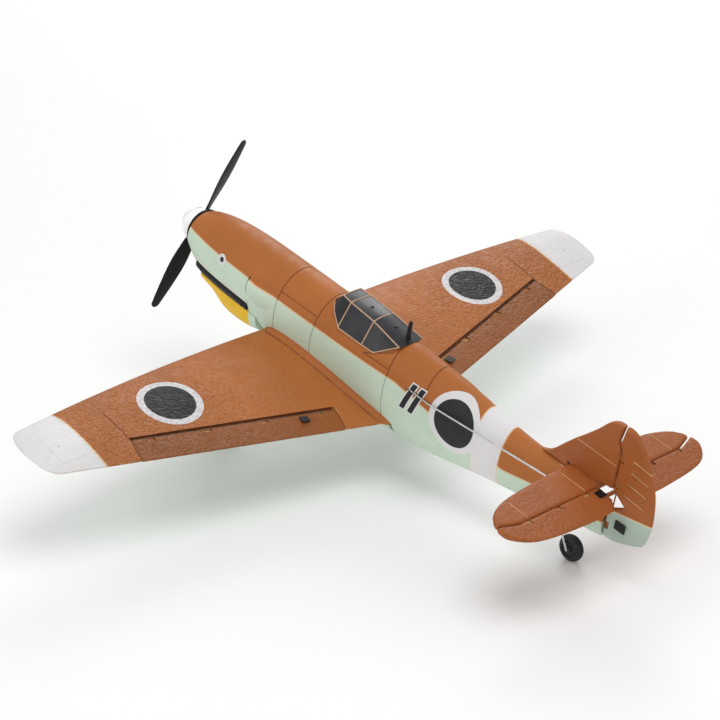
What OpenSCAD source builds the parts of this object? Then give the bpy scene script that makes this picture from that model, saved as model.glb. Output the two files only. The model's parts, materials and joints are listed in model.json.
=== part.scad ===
// Small foam radio-control warbird, standing on its two main wheels and its tail wheel.
// Everything is drawn level, in flying attitude: +X is the plane's left wing, +Y is aft, +Z is up,
// with the spinner's tip at the origin. standing() then tips it nose-up onto its wheels.

/* [Wing] */
// Wing span, tip to tip
span = 400; // [390:1:410]
// Rise of the wing for each millimetre outboard
dihedral = 0.05; // [0.03:0.005:0.07]
// Wing thickness as a share of the chord
wing_thickness = 0.105; // [0.095:0.005:0.115]
// Distance from the aileron's hinge line to its trailing edge
aileron_chord = 13.5; // [12:0.5:14]

/* [Fuselage] */
// Wall of the foam shells
wall = 3.2; // [2.8:0.1:3.4]
// Thickness of the canopy's plastic
canopy_wall = 1.2; // [0.8:0.1:1.4]

/* [Tail] */
// Thickness of the tail surfaces
tail_thickness = 3.6; // [3:0.1:3.8]

/* [Propeller and gearbox] */
// Propeller diameter
prop_d = 109; // [100:1:112]
// Angle at which the propeller has stopped, from upright
prop_rest = 29.5; // [0:1:90]
// Gear module
gear_module = 0.3; // [0.3:0.01:0.32]

/* [Controls] */
// Radius of the elevator and rudder servo arms and horns
tail_arm = 5.5; // [5:0.1:5.6]
// Radius of the aileron servo arms and horns
aileron_arm = 7.5; // [7:0.1:8]

/* [Undercarriage] */
// Main wheel diameter
main_wheel_d = 26; // [22:1:28]
// Tail wheel diameter
tail_wheel_d = 14.5; // [12:0.5:15]
// Distance between the middles of the main wheels
track = 68; // [64:1:74]

/* [Hidden] */
$fn = 48;

brown = [0.68, 0.40, 0.22];
pale_green = [0.69, 0.80, 0.73];
black = [0.08, 0.08, 0.09];
steel = [0.70, 0.71, 0.73];
running = 0.05;                 // radial clearance of a pin that turns in a bore
gap = 0.12;                     // gap between neighbouring fixed pieces
wire_r = 0.5;                   // radius of the control rods

// Standing attitude: both wheel sets touch the same floor.
stand_angle = 12.2;
tail_wheel_at = [0, 314, -25];
main_wheel_y = 90;
function height(y, z) = z * cos(stand_angle) - y * sin(stand_angle);
floor_height = height(tail_wheel_at[1], tail_wheel_at[2]) - tail_wheel_d / 2;
main_wheel_z = (floor_height + main_wheel_d / 2 + main_wheel_y * sin(stand_angle)) / cos(stand_angle);
middle_y = 177.3;               // middle of the standing plane's length

module standing() translate([0, -middle_y, -floor_height]) rotate([-stand_angle, 0, 0]) children();

// ---- Curves and lofts ----

// Smooth curve through the rows of a table whose first column rises.
function row_below(rows, at, i = 0) = i >= len(rows) - 2 || at <= rows[i + 1][0] ? i : row_below(rows, at,
    i + 1);
function slope(rows, i) = let (a = max(i - 1, 0), b = min(i + 1, len(rows) - 1))
    (rows[b] - rows[a]) / (rows[b][0] - rows[a][0]);
function smooth_row(rows, at) =
    let (i = row_below(rows, at), step = rows[i + 1][0] - rows[i][0], t = (at - rows[i][0]) / step)
    rows[i] * (2 * pow(t, 3) - 3 * t * t + 1) + slope(rows, i) * step * (pow(t, 3) - 2 * t * t + t)
    + rows[i + 1] * (3 * t * t - 2 * pow(t, 3)) + slope(rows, i + 1) * step * (pow(t, 3) - t * t);

// Closed solid through rings of equal length, each ring flat. A ring goes out along one side and
// comes back along the other, so its end cap is a strip between the two.
function cap(n) = [for (j = [0:floor((n - 1) / 2) - 1]) let (b = j + 1, c = n - 2 - j, d = n - 1 - j)
    each [if (b != c) [j, b, c], [j, c, d]]];
module loft(rings) {
    n = len(rings[0]);
    last = (len(rings) - 1) * n;
    polyhedron(points = [for (r = rings) each r], convexity = 8, faces = [
        each cap(n),
        for (f = cap(n)) [last + f[2], last + f[1], last + f[0]],
        for (i = [0:len(rings) - 2], j = [0:n - 1])
            let (a = i * n + j, b = i * n + (j + 1) % n) each [[a, a + n, b + n], [a, b + n, b]]]);
}

// Straight round bar between two points.
module bar(a, b, r, fn = 24) {
    v = b - a;
    translate(a) rotate([0, 0, atan2(v[1], v[0])]) rotate([0, acos(v[2] / norm(v)), 0])
        cylinder(r = r, h = norm(v), $fn = fn);
}

// Bent wire: bars with a slight bulge at each bend.
module wire(points, r) {
    for (i = [0:len(points) - 2]) bar(points[i], points[i + 1], r);
    if (len(points) > 2) for (i = [1:len(points) - 2]) translate(points[i]) sphere(r = r * 1.06, $fn = 24);
}

module along_x(from, length, r) translate([from, 0, 0]) rotate([0, 90, 0]) cylinder(r = r, h = length);
module along_y(from, length, r) translate([0, from, 0]) rotate([-90, 0, 0]) cylinder(r = r, h = length);

// ---- Fuselage ----

// Distance aft, half width, top, bottom, height of the widest line
body_rows = [
    [17.6, 12, 11, -13.2, -0.8], [24, 13.8, 14, -18.8, -1.8], [38, 16.2, 17.4, -23.8, -2.8],
    [60, 17.7, 19.5, -26, -3.2], [95, 18.3, 20.2, -28.5, -3.6], [130, 18, 20.8, -31, -4],
    [165, 16.8, 22.8, -32.6, -4], [190, 15.1, 23, -32.4, -4], [210, 13.3, 22.4, -30.3, -3.6],
    [230, 11.9, 21.7, -26, -3], [250, 10, 19, -21.2, -2.1], [270, 8.1, 17.4, -17.4, -0.9],
    [290, 6.2, 17.5, -13.8, 0.5], [310, 4.4, 17.9, -9.8, 2], [330, 2.7, 17.9, -6.3, 4]];
nose_y = body_rows[0][0];
tail_y = body_rows[len(body_rows) - 1][0];

// Point on the fuselage's skin, at angle a round its section, inset from the outside.
function skin(row, a, inset = 0) =
    let (half_height = (sin(a) > 0 ? row[2] - row[4] : row[4] - row[3]) - inset)
    [(row[1] - inset) * cos(a), row[0], row[4] + half_height * sin(a)];
function wall_at(row) = min(wall, row[1] / 2);
// Ring of a shell from angle a to angle b: out along the skin and back along the inside.
function shell_ring(row, a, b, n) = [
    for (i = [0:n]) skin(row, a + (b - a) * i / n),
    for (i = [n:-1:0]) skin(row, a + (b - a) * i / n, wall_at(row))];
function stations(from, to, n) = [for (i = [0:n]) from + (to - from) * i / n];

module shell(from, to, steps, a, b, n)
    loft([for (y = stations(from, to, steps)) shell_ring(smooth_row(body_rows, y), a, b, n)]);

// Outline in the plane of symmetry, made solid across the plane.
module side_view(width) rotate([90, 0, 90]) linear_extrude(width, center = true) children();

hatch_from = 34;
hatch_to = 84;
parting_z = -15.5;
canopy_sill = 12.4;
canopy_line = [[131, 21.3], [144.5, canopy_sill], [171, canopy_sill], [190, 26], [190, 40], [131, 40]];
exhaust_y = [28, 78];
exhaust_z = [-14.6, -9.8];
intake_y = [79, 97];
intake_z = [-0.5, 6.5];
magnet_y = 79;
magnet_x = 13.9;
magnet_r = 1.2;

module fuselage_half(side) {
    difference() {
        shell(nose_y, tail_y, 42, 90, 90 - 180 * side, 14);
        side_view(60) saddle_outline();
        side_view(60) polygon(canopy_line);
        translate([-40, hatch_from, -60]) cube([80, hatch_to - hatch_from, 60 + parting_z]);
        // notch behind the stabilizer, where the elevator joiner swings
        translate([-10, 323.5, 15.8]) cube([20, 10, 10]);
        translate([side > 0 ? 5 : -35, exhaust_y[0], exhaust_z[0]])
            cube([30, exhaust_y[1] - exhaust_y[0], exhaust_z[1] - exhaust_z[0]]);
        if (side > 0) translate([5, intake_y[0], intake_z[0]])
            cube([30, intake_y[1] - intake_y[0], intake_z[1] - intake_z[0]]);
        bar([side * 11.3, 170, 5.8], [side * 13.3, 223, 6.8], 1.6);
        translate([side * magnet_x, magnet_y, parting_z - 1]) cylinder(r = magnet_r + running, h = 2);
        tail_leg_bore();
    }
}

module fuselage_left() standing() color(brown) fuselage_half(1);
module fuselage_right() standing() color(brown) fuselage_half(-1);

module belly_pan() standing() color(pale_green) intersection() {
    shell(90.8, 189, 20, -2, -178, 20);
    side_view(60) belly_outline();
}

// The chin under the nose deepens into an oil cooler: distance aft, half width at the parting line, bottom
chin_rows = [[34, 13.2, -23], [44, 14, -25.6],
    [54, 14.8, -31.2], [64, 15.1, -32.3], [75, 15.2, -31], [84, 15.2, -28.4]];
function chin_point(row, a, inset) = let (shape = pow(abs(sin(a)), 0.8))
    [(row[1] + 1 - inset) * sign(cos(a)) * pow(abs(cos(a)), 0.75), row[0],
     parting_z + 2 - (parting_z + 2 - row[2] - inset) * shape];
function chin_ring(y) = let (row = smooth_row(chin_rows, y)) [
    for (i = [0:18]) chin_point(row, -180 * i / 18, 0),
    for (i = [18:-1:0]) chin_point(row, -180 * i / 18, 2.6)];

module battery_hatch() standing() color([0.90, 0.72, 0.16]) difference() {
    loft([for (y = stations(hatch_from + gap, hatch_to - gap, 16)) chin_ring(y)]);
    translate([-40, 0, parting_z - gap]) cube([80, 120, 20]);
    for (side = [-1, 1]) translate([side * magnet_x, magnet_y,
        parting_z - 1]) cylinder(r = magnet_r + running, h = 2);
    // air intake of the oil cooler
    translate([-7.5, 40, -28.4]) cube([15, 17, 3.2]);
}

module magnet_pair(z) for (side = [-1, 1]) translate([side * magnet_x, magnet_y, z]) cylinder(r = magnet_r,
    h = 0.7);
module bay_magnets() standing() color(steel) magnet_pair(parting_z + 0.1);
module hatch_magnets() standing() color(steel) magnet_pair(parting_z - gap - 0.85);

// Distance aft, half width of the roof, height of the roof's edge, half width at the sill, rise of its crown
canopy_rows = [[131.9, 5.5, 21.6, 14, 0.2], [137, 6.2, 26.7, 14.4, 0.2],
    [144, 6.9, 26.2, 14.7, 0.3], [162.4, 7.3, 25.2, 14.5, 1], [184, 8.3, 21.8, 12.9, 1.7], [192, 8.6, 20.5,
        12.2, 1.8]];
function canopy_arch(row, w) = let (y = row[0])
    [[row[3] - 1.2 * w, y, 11.5], [row[1] - 0.7 * w, y, row[2] - w], [row[1] / 2, y,
        row[2] + 0.75 * row[4] - w],
     [0, y, row[2] + row[4] - w], [-row[1] / 2, y, row[2] + 0.75 * row[4] - w], [0.7 * w - row[1], y,
         row[2] - w],
     [1.2 * w - row[3], y, 11.5]];
function canopy_ring(row) = let (inner = canopy_arch(row, canopy_wall))
    concat([for (i = [6:-1:0]) canopy_arch(row, 0)[i]], inner);

module canopy() standing() color(black) difference() {
    intersection() {
        loft([for (row = canopy_rows) canopy_ring(row)]);
        side_view(60) translate([0, gap]) polygon(canopy_line);
    }
    translate([0, mast_y, 10]) cylinder(r = mast_r + 0.02, h = 20);
}

mast_y = 181.5;
mast_r = 0.8;
mast_foot = 21.35;
mast_top = 34.2;
module antenna_mast() standing() color(black) translate([0, mast_y, mast_foot]) {
    cylinder(r = mast_r, h = mast_top - mast_foot);
    cylinder(r = 1.8, h = 0.7);
}

// Six stub pipes on a long backing plate
module exhaust(side) {
    length = exhaust_y[1] - exhaust_y[0] - 2 * gap;
    front = exhaust_y[0] + gap;
    translate([0, 0, exhaust_z[0] + gap]) linear_extrude(exhaust_z[1] - exhaust_z[0] - 2 * gap)
        polygon([[side * 11.4, front], [side * 14.7, front], [side * 17, front + 18], [side * 17.9,
            front + length],
            [side * 13.6, front + length]]);
    for (i = [0:5]) let (y = front + 5 + i * 7.6)
        bar([side * (14.2 + i * 0.55), y, -12.2], [side * (16.3 + i * 0.55), y + 3.6, -12.6], 1.5, 16);
}
module exhaust_left() standing() color(black) exhaust(1);
module exhaust_right() standing() color(black) exhaust(-1);

module supercharger_intake() standing() color(pale_green) {
    height = intake_z[1] - intake_z[0] - 2 * gap;
    translate([0, 0, intake_z[0] + gap]) difference() {
        linear_extrude(height) polygon([[14.8, intake_y[0] + gap], [20.6, intake_y[0] + gap], [21,
            intake_y[0] + 4],
            [18.4, intake_y[1] - gap], [14.8, intake_y[1] - gap]]);
        translate([17, 70, 1.2]) cube([2.6, 16, height - 2.4]);
    }
}

// ---- Wing ----

root_flat = 20;                 // the wing is level as far out as this
half_span = span / 2;
tip_start = half_span - 9;
incidence = 1.6;
camber = 0.02;
function leading(x) = 91 + 0.0004 * x * x;
function trailing(x) = 190.9 - 0.245 * x;
function chord(x) = trailing(x) - leading(x);
function tip_scale(x) = x < tip_start ? 1 : sqrt(1 - pow((x - tip_start) / (half_span + 0.05 - tip_start),
    3));
function wing_height(x) = -20.9 + dihedral * max(0, x - root_flat);
// Height of the mean line above the chord line, and half the thickness, as shares of the chord
function mean_line(c) = c < 0.4 ? camber / 0.16 * (0.8 * c - c * c) : camber / 0.36 * (0.2 + 0.8 * c - c * c);
function half_thickness(c) = 5 * wing_thickness
    * (0.2969 * sqrt(c) - 0.126 * c - 0.3516 * c * c + 0.2843 * pow(c, 3) - 0.1036 * pow(c, 4));
// Point of the wing at x, share c of the chord, on the upper (1), lower (-1) or middle (0) surface
function wing_point(x, c, surface) =
    let (k = tip_scale(x), length = chord(x) * k, middle = (leading(x) + trailing(x)) / 2)
    [x, middle + (c - 0.5) * length,
     wing_height(x) + mean_line(c) * length + (0.5 - c) * length * sin(incidence)
         + surface * (half_thickness(c) * length + 0.45 * c * k)];
function share(i, n) = (1 - cos(180 * i / n)) / 2;
wing_steps = 11;
function wing_ring(x) = [
    for (i = [0:wing_steps]) wing_point(x, share(i, wing_steps), 1),
    for (i = [wing_steps:-1:1]) wing_point(x, share(i, wing_steps), -1)];
wing_stations = [0, root_flat, 45, 75, 105, 135, 165, tip_start, half_span - 6, half_span - 3.5,
    half_span - 1.8, half_span - 0.6, half_span];

// Room for the wing's root between the fuselage and the belly, in side view
function flat_point(c, surface, away) = let (p = wing_point(0, c, surface)) [p[1], p[2] + away];
module saddle_outline() polygon([
    for (i = [0:wing_steps]) flat_point(share(i, wing_steps), 1, 0.3),
    [191.2, -21.5], [191.2, -60], [90.6, -60], [90.6, -19.5]]);
module belly_outline() polygon([
    for (i = [0:wing_steps - 1]) flat_point(share(i, wing_steps), -1, -0.3), [188.9, -23], [188.9, -60],
        [90.9, -60]]);

// Aileron hinge line, on the left wing
hinge_inner = [33, trailing(33) - aileron_chord, wing_point(33, 0.85, 0)[2]];
hinge_outer = [147, trailing(147) - aileron_chord, wing_point(147, 0.75, 0)[2]];
hinge_length = norm(hinge_outer - hinge_inner);
hinge_yaw = atan2(hinge_outer[1] - hinge_inner[1], hinge_outer[0] - hinge_inner[0]);
hinge_rise = asin((hinge_outer[2] - hinge_inner[2]) / hinge_length);
aileron_r = 1.85;
cove_r = 2.35;
pin_r = 0.4;
tab_at = [10, 42, 75, 107];
servo_back = 30;                // from the hinge line forward to the servo's shaft
servo_up = 1;                   // height of the servo's shaft above the hinge line
horn_at = 20;                   // distance of the horn along the hinge line

// Frame of the aileron: X along the hinge line outboard, Y aft, Z up
module at_hinge(side) mirror([side > 0 ? 0 : 1, 0, 0])
    translate(hinge_inner) rotate([0, 0, hinge_yaw]) rotate([0, -hinge_rise, 0]) children();

spar_y = 120;
spar_r = 1.25;
spar_angle = atan(dihedral);
module spar_line(side, r) mirror([side > 0 ? 0 : 1, 0, 0])
    translate([2, spar_y, -21.3]) rotate([0, 90 - spar_angle, 0]) cylinder(r = r, h = 128);

mount_at = [27, 104];
mount_size = [9, 15, 4];
mount_top = -22.4;
module wing_half(side) difference() {
    mirror([side > 0 ? 0 : 1, 0, 0]) loft([for (x = wing_stations) wing_ring(x)]);
    at_hinge(side) {
        along_x(-0.5, hinge_length + 1, cove_r);
        translate([-0.5, 0, -6]) cube([hinge_length + 1, 30, 12]);
        for (s = tab_at) translate([s - 2.1, -6.1, -0.55]) cube([4.2, 8, 1.1]);
        // servo pocket, and the slot that its arm swings in
        translate([horn_at + 1.1, -servo_back - 10.2, -10]) cube([10.6, 14.4, 14.6]);
        translate([horn_at - 2.4, -servo_back - 4.5, -10]) cube([3.6, 9, 13]);
    }
    spar_line(side, spar_r + running);
    translate([side * mount_at[0] - mount_size[0] / 2 - gap, mount_at[1] - mount_size[1] / 2 - gap, -40])
        cube([mount_size[0] + 2 * gap, mount_size[1] + 2 * gap, 40 + mount_top + gap]);
}
module wing_left() standing() color(brown) wing_half(1);
module wing_right() standing() color(brown) wing_half(-1);

module wing_spars() standing() color(black) for (side = [-1, 1]) spar_line(side, spar_r);

// Wedge with a round nose, drawn aft (X) and up (Y)
module surface_profile(r, length, droop, edge) {
    circle(r = r);
    polygon([[0, r], [length, edge - droop], [length, -edge - droop], [0, -r]]);
}

module aileron(side) at_hinge(side) difference() {
    rotate([90, 0, 90]) linear_extrude(hinge_length) surface_profile(aileron_r, aileron_chord, 1.16, 0.45);
    along_x(-1, hinge_length + 2, pin_r + running);
    for (s = tab_at) translate([s - 2.2, -3, -3]) cube([4.4, 4.3, 6]);
    for (y = [2, 4.4]) translate([horn_at, y, -4]) cylinder(r = 0.45, h = 8);
}
module aileron_left() standing() color(brown) aileron(1);
module aileron_right() standing() color(brown) aileron(-1);

// Tabs that reach across the hinge slot, and the wires that the ailerons turn on
module aileron_hinges() standing() color(brown) for (side = [-1, 1]) at_hinge(side) {
    difference() {
        for (s = tab_at) translate([s - 2, 0, 0]) {
            along_x(0, 4, 1);
            translate([0, -6, -0.5]) cube([4, 6, 1]);
        }
        along_x(-1, hinge_length + 2, pin_r + 0.02);
    }
    along_x(0.5, hinge_length - 1, pin_r);
}

// Two-pronged horn under the surface, gripped by a square plate on top; drawn in the hinge's frame
module horn(arm, hole_r, top, bottom, at) difference() {
    union() {
        translate([at - 2.25, 1.1, top]) cube([4.5, 4.5, 0.6]);
        translate([at - 2.25, 1.1, bottom - 0.6]) cube([4.5, 4.5, 0.6]);
        for (y = [2, 4.4]) translate([at, y, bottom - 0.3]) cylinder(r = 0.4, h = top - bottom + 0.6);
        translate([at - 0.5, 0, 0]) rotate([90, 0, 90]) linear_extrude(1)
            polygon([[1.1, bottom - 0.3], [5.6, bottom - 0.3], [4.8, bottom - 1.6], [1.6, -arm - 1.3],
                [-1.2, -arm - 1.6],
                [-1.7, -arm + 0.4], [-0.6, -arm + 1.7]]);
    }
    translate([0, 0, -arm]) along_x(at - 1, 2, hole_r);
}
module aileron_horn(side) at_hinge(side) horn(aileron_arm, wire_r + 0.1, 1.68, -1.87, horn_at);
module aileron_horn_left() standing() color(black) aileron_horn(1);
module aileron_horn_right() standing() color(black) aileron_horn(-1);

// Micro servo: case, lid, and the round turret that carries the splined shaft (drawn with the shaft along Z)
shaft_r = 0.9;
module servo(length, width, height) difference() {
    union() {
        translate([-width / 2, -length + 4, -height]) cube([width, length, height - 0.7]);
        translate([-width / 2 + 0.3, -length + 4.3, -0.8]) cube([width - 0.6, length - 4.6, 0.4]);
        cylinder(r = 2, h = 0.9, center = true);
        cylinder(r = shaft_r, h = 2.2);
    }
    translate([0, 0, 1]) cylinder(r = 0.35, h = 3);
}
module servo_arm(arm, hole_r, thick) difference() {
    union() {
        cylinder(r = 2, h = 1.6);
        linear_extrude(thick) polygon([[-2, 0], [-1.1, arm], [1.1, arm], [2, 0]]);
        translate([0, arm, 0]) cylinder(r = 1.1, h = thick);
    }
    translate([0, 0, -1]) cylinder(r = shaft_r + running, h = 4);
    translate([0, arm, -1]) cylinder(r = hole_r, h = 4);
}

// The aileron servo lies on its side in the wing, its shaft along the hinge line
module at_aileron_servo(side) at_hinge(side)
    translate([horn_at, -servo_back, servo_up]) rotate([0, -90, 0]) children();
module aileron_servo(side) at_aileron_servo(side) translate([0, 0, -1.6]) servo(14, 6.6, 9.4);
module aileron_servo_arm(side) at_aileron_servo(side)
    translate([0, 0, -0.9]) rotate([0, 0, 90]) servo_arm(aileron_arm, wire_r + running, 1);
module aileron_servo_left() standing() color(black) aileron_servo(1);
module aileron_servo_right() standing() color(black) aileron_servo(-1);
module aileron_servo_arm_left() standing() color("white") aileron_servo_arm(1);
module aileron_servo_arm_right() standing() color("white") aileron_servo_arm(-1);

module aileron_rod(side) at_hinge(side) {
    beside = horn_at - 1.8;
    front = [beside, -servo_back, servo_up - aileron_arm];
    back = [beside, 0, -aileron_arm];
    wire([front + [2.6, 0, 0], front, back, back + [2.8, 0, 0]], wire_r);
}
module aileron_rod_left() standing() color(steel) aileron_rod(1);
module aileron_rod_right() standing() color(steel) aileron_rod(-1);

// ---- Tail ----

tail_z = 20;                    // height of the stabilizer and of the elevator's hinge line
elevator_y = 325;
rudder_y = 332.3;
surface_r = tail_thickness / 2;
stab_half = [[0, 302], [20, 302.4], [30.5, 303.1], [50, 304.8], [59, 307.6], [65, 311], [68.2, 315.2],
    [69.3, 318.6],
    [58.4, 322.6], [57.2, 323], [0, 323]];
elevator_half = [[4.6, 323], [57.6, 323], [58.8, 323.4], [69.9, 319.4], [71, 323], [68.2, 330], [61, 336],
    [51, 338.4],
    [41.4, 339.4], [21.6, 340.8], [9, 340], [5.6, 336.5], [4.6, 332]];
fin_outline = [[282, 17.95], [286, 19], [290, 22.4], [295, 28.8], [300.3, 35.1], [307, 42.3], [313.5, 49.7],
    [317.4, 55], [320.4, 58.5], [324, 60.2], [328.9, 60.7], [327.2, 50.1], [331.4, 46.2], [331.4, 24],
        [323.4, 24],
    [323.4, 22.05], [301, 22.05], [301, 17.95]];
rudder_outline = [[330.5, 46.8], [331.5, 46.9], [328.4, 50.4], [330, 60.9], [336, 60], [341.8, 55.9],
    [348.6, 48.3],
    [353.5, 38.2], [355.5, 33.4], [357.1, 25], [357.8, 17.4], [357, 10], [354.9, 3.5], [346, -1.2], [337, -4],
    [330.5, -4.4], [330.5, 12], [339.9, 17.9], [330.5, 24]];
rudder_tabs = [3, 28, 43];
elevator_tabs = [14, 34, 54];

module at_elevator() translate([0, elevator_y, tail_z]) children();

module stabilizer() standing() color(brown) difference() {
    translate([0, 0, tail_z - surface_r]) linear_extrude(tail_thickness)
        polygon(concat(stab_half, [for (i = [len(stab_half) - 2:-1:1]) [-stab_half[i][0], stab_half[i][1]]]));
    at_elevator() {
        along_x(-57.8, 115.6, surface_r + 0.5);
        for (s = elevator_tabs, side = [-1, 1]) translate([side * s - 2.1, -6.1, -0.55]) cube([4.2, 8, 1.1]);
    }
}

module fin() standing() color(brown) difference() {
    side_view(tail_thickness) polygon(fin_outline);
    translate([0, rudder_y, 23.5]) cylinder(r = surface_r + 0.5, h = 23.8);
    for (z = rudder_tabs) if (z > 24) translate([-0.55, rudder_y - 6.1, z - 2.1]) cube([1.1, 8, 4.2]);
}

module elevator() standing() color(brown) {
    difference() {
        intersection() {
            linear_extrude(40) for (side = [0, 1]) mirror([side, 0]) polygon(elevator_half);
            union() {
                at_elevator() rotate([90, 0, 90]) linear_extrude(160,
                    center = true) surface_profile(surface_r, 15.5, 0, 0.5);
                // balance ahead of the hinge line at each tip
                for (side = [-1, 1]) translate([side * 65 - 7, elevator_y - 7,
                    tail_z - surface_r]) cube([14, 7, tail_thickness]);
            }
        }
        at_elevator() {
            along_x(-57.5, 115, pin_r + running);
            for (s = elevator_tabs, side = [-1, 1]) translate([side * s - 2.2, -3, -3]) cube([4.4, 4.3, 6]);
            for (y = [2, 4.4]) translate([7.2, y, -4]) cylinder(r = 0.45, h = 8);
        }
    }
    // joiner of the two halves, bent aft round the fin post
    at_elevator() translate([0, 4.4, 0]) along_x(-4.7, 9.4, 1.2);
}

module rudder() standing() color(brown) difference() {
    intersection() {
        side_view(20) polygon(rudder_outline);
        translate([0, rudder_y, -10]) union() {
            linear_extrude(80) rotate(90) surface_profile(surface_r, 26, 0, 0.5);
            // balance ahead of the hinge line at the top
            translate([-surface_r, -5, 57]) cube([tail_thickness, 5, 20]);
        }
    }
    translate([0, rudder_y, -6]) cylinder(r = pin_r + running, h = 53);
    for (z = rudder_tabs) translate([-3, rudder_y - 3, z - 2.2]) cube([6, 4.3, 4.4]);
    for (y = [6, 10.5]) translate([-4, rudder_y + y, 7.1]) rotate([0, 90, 0]) cylinder(r = 0.45, h = 8);
}

// Knuckles and wires of the elevator and the rudder
module tail_hinges() standing() color(brown) {
    at_elevator() for (side = [-1, 1]) {
        difference() {
            for (s = elevator_tabs) translate([side * s - 2, 0, 0]) {
                along_x(0, 4, 1);
                translate([0, -6, -0.5]) cube([4, 6, 1]);
            }
            along_x(-60, 120, pin_r + 0.02);
        }
        along_x(side > 0 ? 5 : -57, 52, pin_r);
    }
    translate([0, rudder_y, 0]) {
        difference() {
            for (z = rudder_tabs) translate([0, 0, z - 2]) {
                cylinder(r = 1, h = 4);
                translate([-0.5, z < 24 ? -2.2 : -6, 0]) cube([1, z < 24 ? 2.2 : 6, 4]);
            }
            translate([0, 0, -10]) cylinder(r = pin_r + 0.02, h = 70);
        }
        translate([0, 0, -3.5]) cylinder(r = pin_r, h = 49);
    }
}

module elevator_horn() standing() color(black) at_elevator()
    horn(tail_arm, wire_r + 0.55, surface_r - 0.07, -surface_r - 0.02, 7.2);

module rudder_horn() standing() color(black) translate([0, rudder_y, 7.1]) difference() {
    union() {
        translate([1.7, 5, -2.4]) cube([0.7, 6.5, 4.8]);
        translate([-2.4, 5, -2.4]) cube([0.7, 6.5, 4.8]);
        for (y = [6, 10.5]) translate([-2, y, 0]) rotate([0, 90, 0]) cylinder(r = 0.4, h = 4);
        translate([0, 0, -0.5]) linear_extrude(1) polygon([[-2.1, 5.2], [-2.1, 11], [-3.2, 10.6], [-6.6, 1.4],
            [-6.9, -0.9], [-5.6, -1.6], [-4.2, -1]]);
    }
    translate([-tail_arm, 0, -1]) cylinder(r = wire_r + 0.1, h = 2);
}

// ---- Tail servos and rods ----

servo_x = 5.4;
servo_y = 158;
servo_z = 3.2;                  // top of the tail servos' cases
rod_z = 5.7;

module servo_tray() standing() color([0.80, 0.68, 0.48]) difference() {
    translate([-12, 138, -11.7]) cube([24, 30, 1.5]);
    for (x = [-10.8, 10.8], y = [141, 165]) translate([x, y, -12]) cylinder(r = 0.7, h = 3);
}
module tail_servo(side) translate([side * servo_x, servo_y, servo_z]) servo(16, 7.6, 13.3);
module elevator_servo() standing() color(black) tail_servo(1);
module rudder_servo() standing() color(black) tail_servo(-1);
module tail_servo_arm(side) translate([side * servo_x, servo_y, servo_z + 0.6])
    rotate(-90 * side) servo_arm(tail_arm, wire_r + running, 1);
module elevator_servo_arm() standing() color("white") tail_servo_arm(1);
module rudder_servo_arm() standing() color("white") tail_servo_arm(-1);

module elevator_rod() standing() color(steel) {
    start = [servo_x + tail_arm, servo_y, rod_z];
    end = [8.6, elevator_y, tail_z - tail_arm];
    wire([start - [0, 0, 2.2], start, [13.1, 214, 6.6], end, end - [2.4, 0, 0]], wire_r);
}
module rudder_rod() standing() color(steel) {
    start = [-servo_x - tail_arm, servo_y, rod_z];
    end = [-tail_arm, rudder_y, 8.3];
    wire([start - [0, 0, 2.2], start, [-13.1, 214, 6.6], end, end - [0, 0, 2.4]], wire_r);
}

// ---- Power train ----

spur_teeth = 48;
pinion_teeth = 9;
motor_drop = gear_module * (spur_teeth + pinion_teeth) / 2 + 0.06;
prop_shaft_r = 0.75;
bush_r = 1.5;
motor_r = 4.25;
blade_y = 12.4;                 // plane of the blades

// Spur gear outline, one tooth pointing at angle first
module gear_outline(teeth, first) {
    r = gear_module * teeth / 2;
    step = 360 / teeth;
    polygon([for (i = [0:teeth - 1]) each [for (p = [[-0.27, -1.2], [-0.12, 0.85], [0.12, 0.85], [0.27,
        -1.2]])
        (r + p[1] * gear_module) * [cos(first + step * (i + p[0])), sin(first + step * (i + p[0]))]]]);
}

module spur_gear() standing() color("white") translate([0, 27.5, 0]) rotate([-90, 0, 0]) difference() {
    union() {
        linear_extrude(3) gear_outline(spur_teeth, 90);
        cylinder(r = 2.2, h = 3.4);
    }
    translate([0, 0, -1]) cylinder(r = prop_shaft_r + 0.01, h = 7);
    for (a = [0:60:300]) rotate(a + 30) translate([4.4, 0, -1]) cylinder(r = 1.1, h = 5, $fn = 24);
}
module motor_pinion() standing() color([0.80, 0.66, 0.30]) translate([0, 0, -motor_drop]) difference() {
    translate([0, 27.3, 0]) rotate([-90, 0, 0]) linear_extrude(3.4) gear_outline(pinion_teeth,
        -90 + 180 / pinion_teeth);
    along_y(25, 8, 0.5);
}
module motor() standing() color(steel) translate([0, 0, -motor_drop]) {
    along_y(34.2, 20, motor_r);
    along_y(33, 1.3, 1.4);
    along_y(27.3, 6, 0.45);
    along_y(54.2, 0.8, 3.4);
}
module motor_mount() standing() color(black) difference() {
    union() {
        along_y(20.5, 2, 8.8);
        hull() {
            along_y(32, 2, 5.6);
            translate([0, 0, -motor_drop]) along_y(32, 2, 5.6);
        }
        translate([0, 0, -motor_drop]) along_y(33.9, 10, 5.6);
        for (side = [-1, 1]) {
            translate([side * 8.4 - 0.75, 21, -1.8]) cube([1.5, 13, 3.6]);
            translate([side * 6.8 - 3, 32, -1.8]) cube([6, 2, 3.6]);
        }
        for (y = [19, 31.1]) along_y(y, 3.9, 2.6);
    }
    along_y(10, 30, bush_r + 0.01);
    translate([0, 0, -motor_drop]) {
        along_y(34, 20, motor_r + running);
        along_y(30, 6, 2.4);
    }
    for (side = [-1, 1]) translate([side * 5, 0, 0]) along_y(19, 4, 0.8);
}
module shaft_bushes() standing() color([0.80, 0.66, 0.30]) for (y = [19, 31.1]) difference() {
    along_y(y, 3.9, bush_r);
    along_y(y - 1, 6, prop_shaft_r + running);
}
module prop_shaft() standing() color(steel) along_y(7, 29.6, prop_shaft_r);

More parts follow.
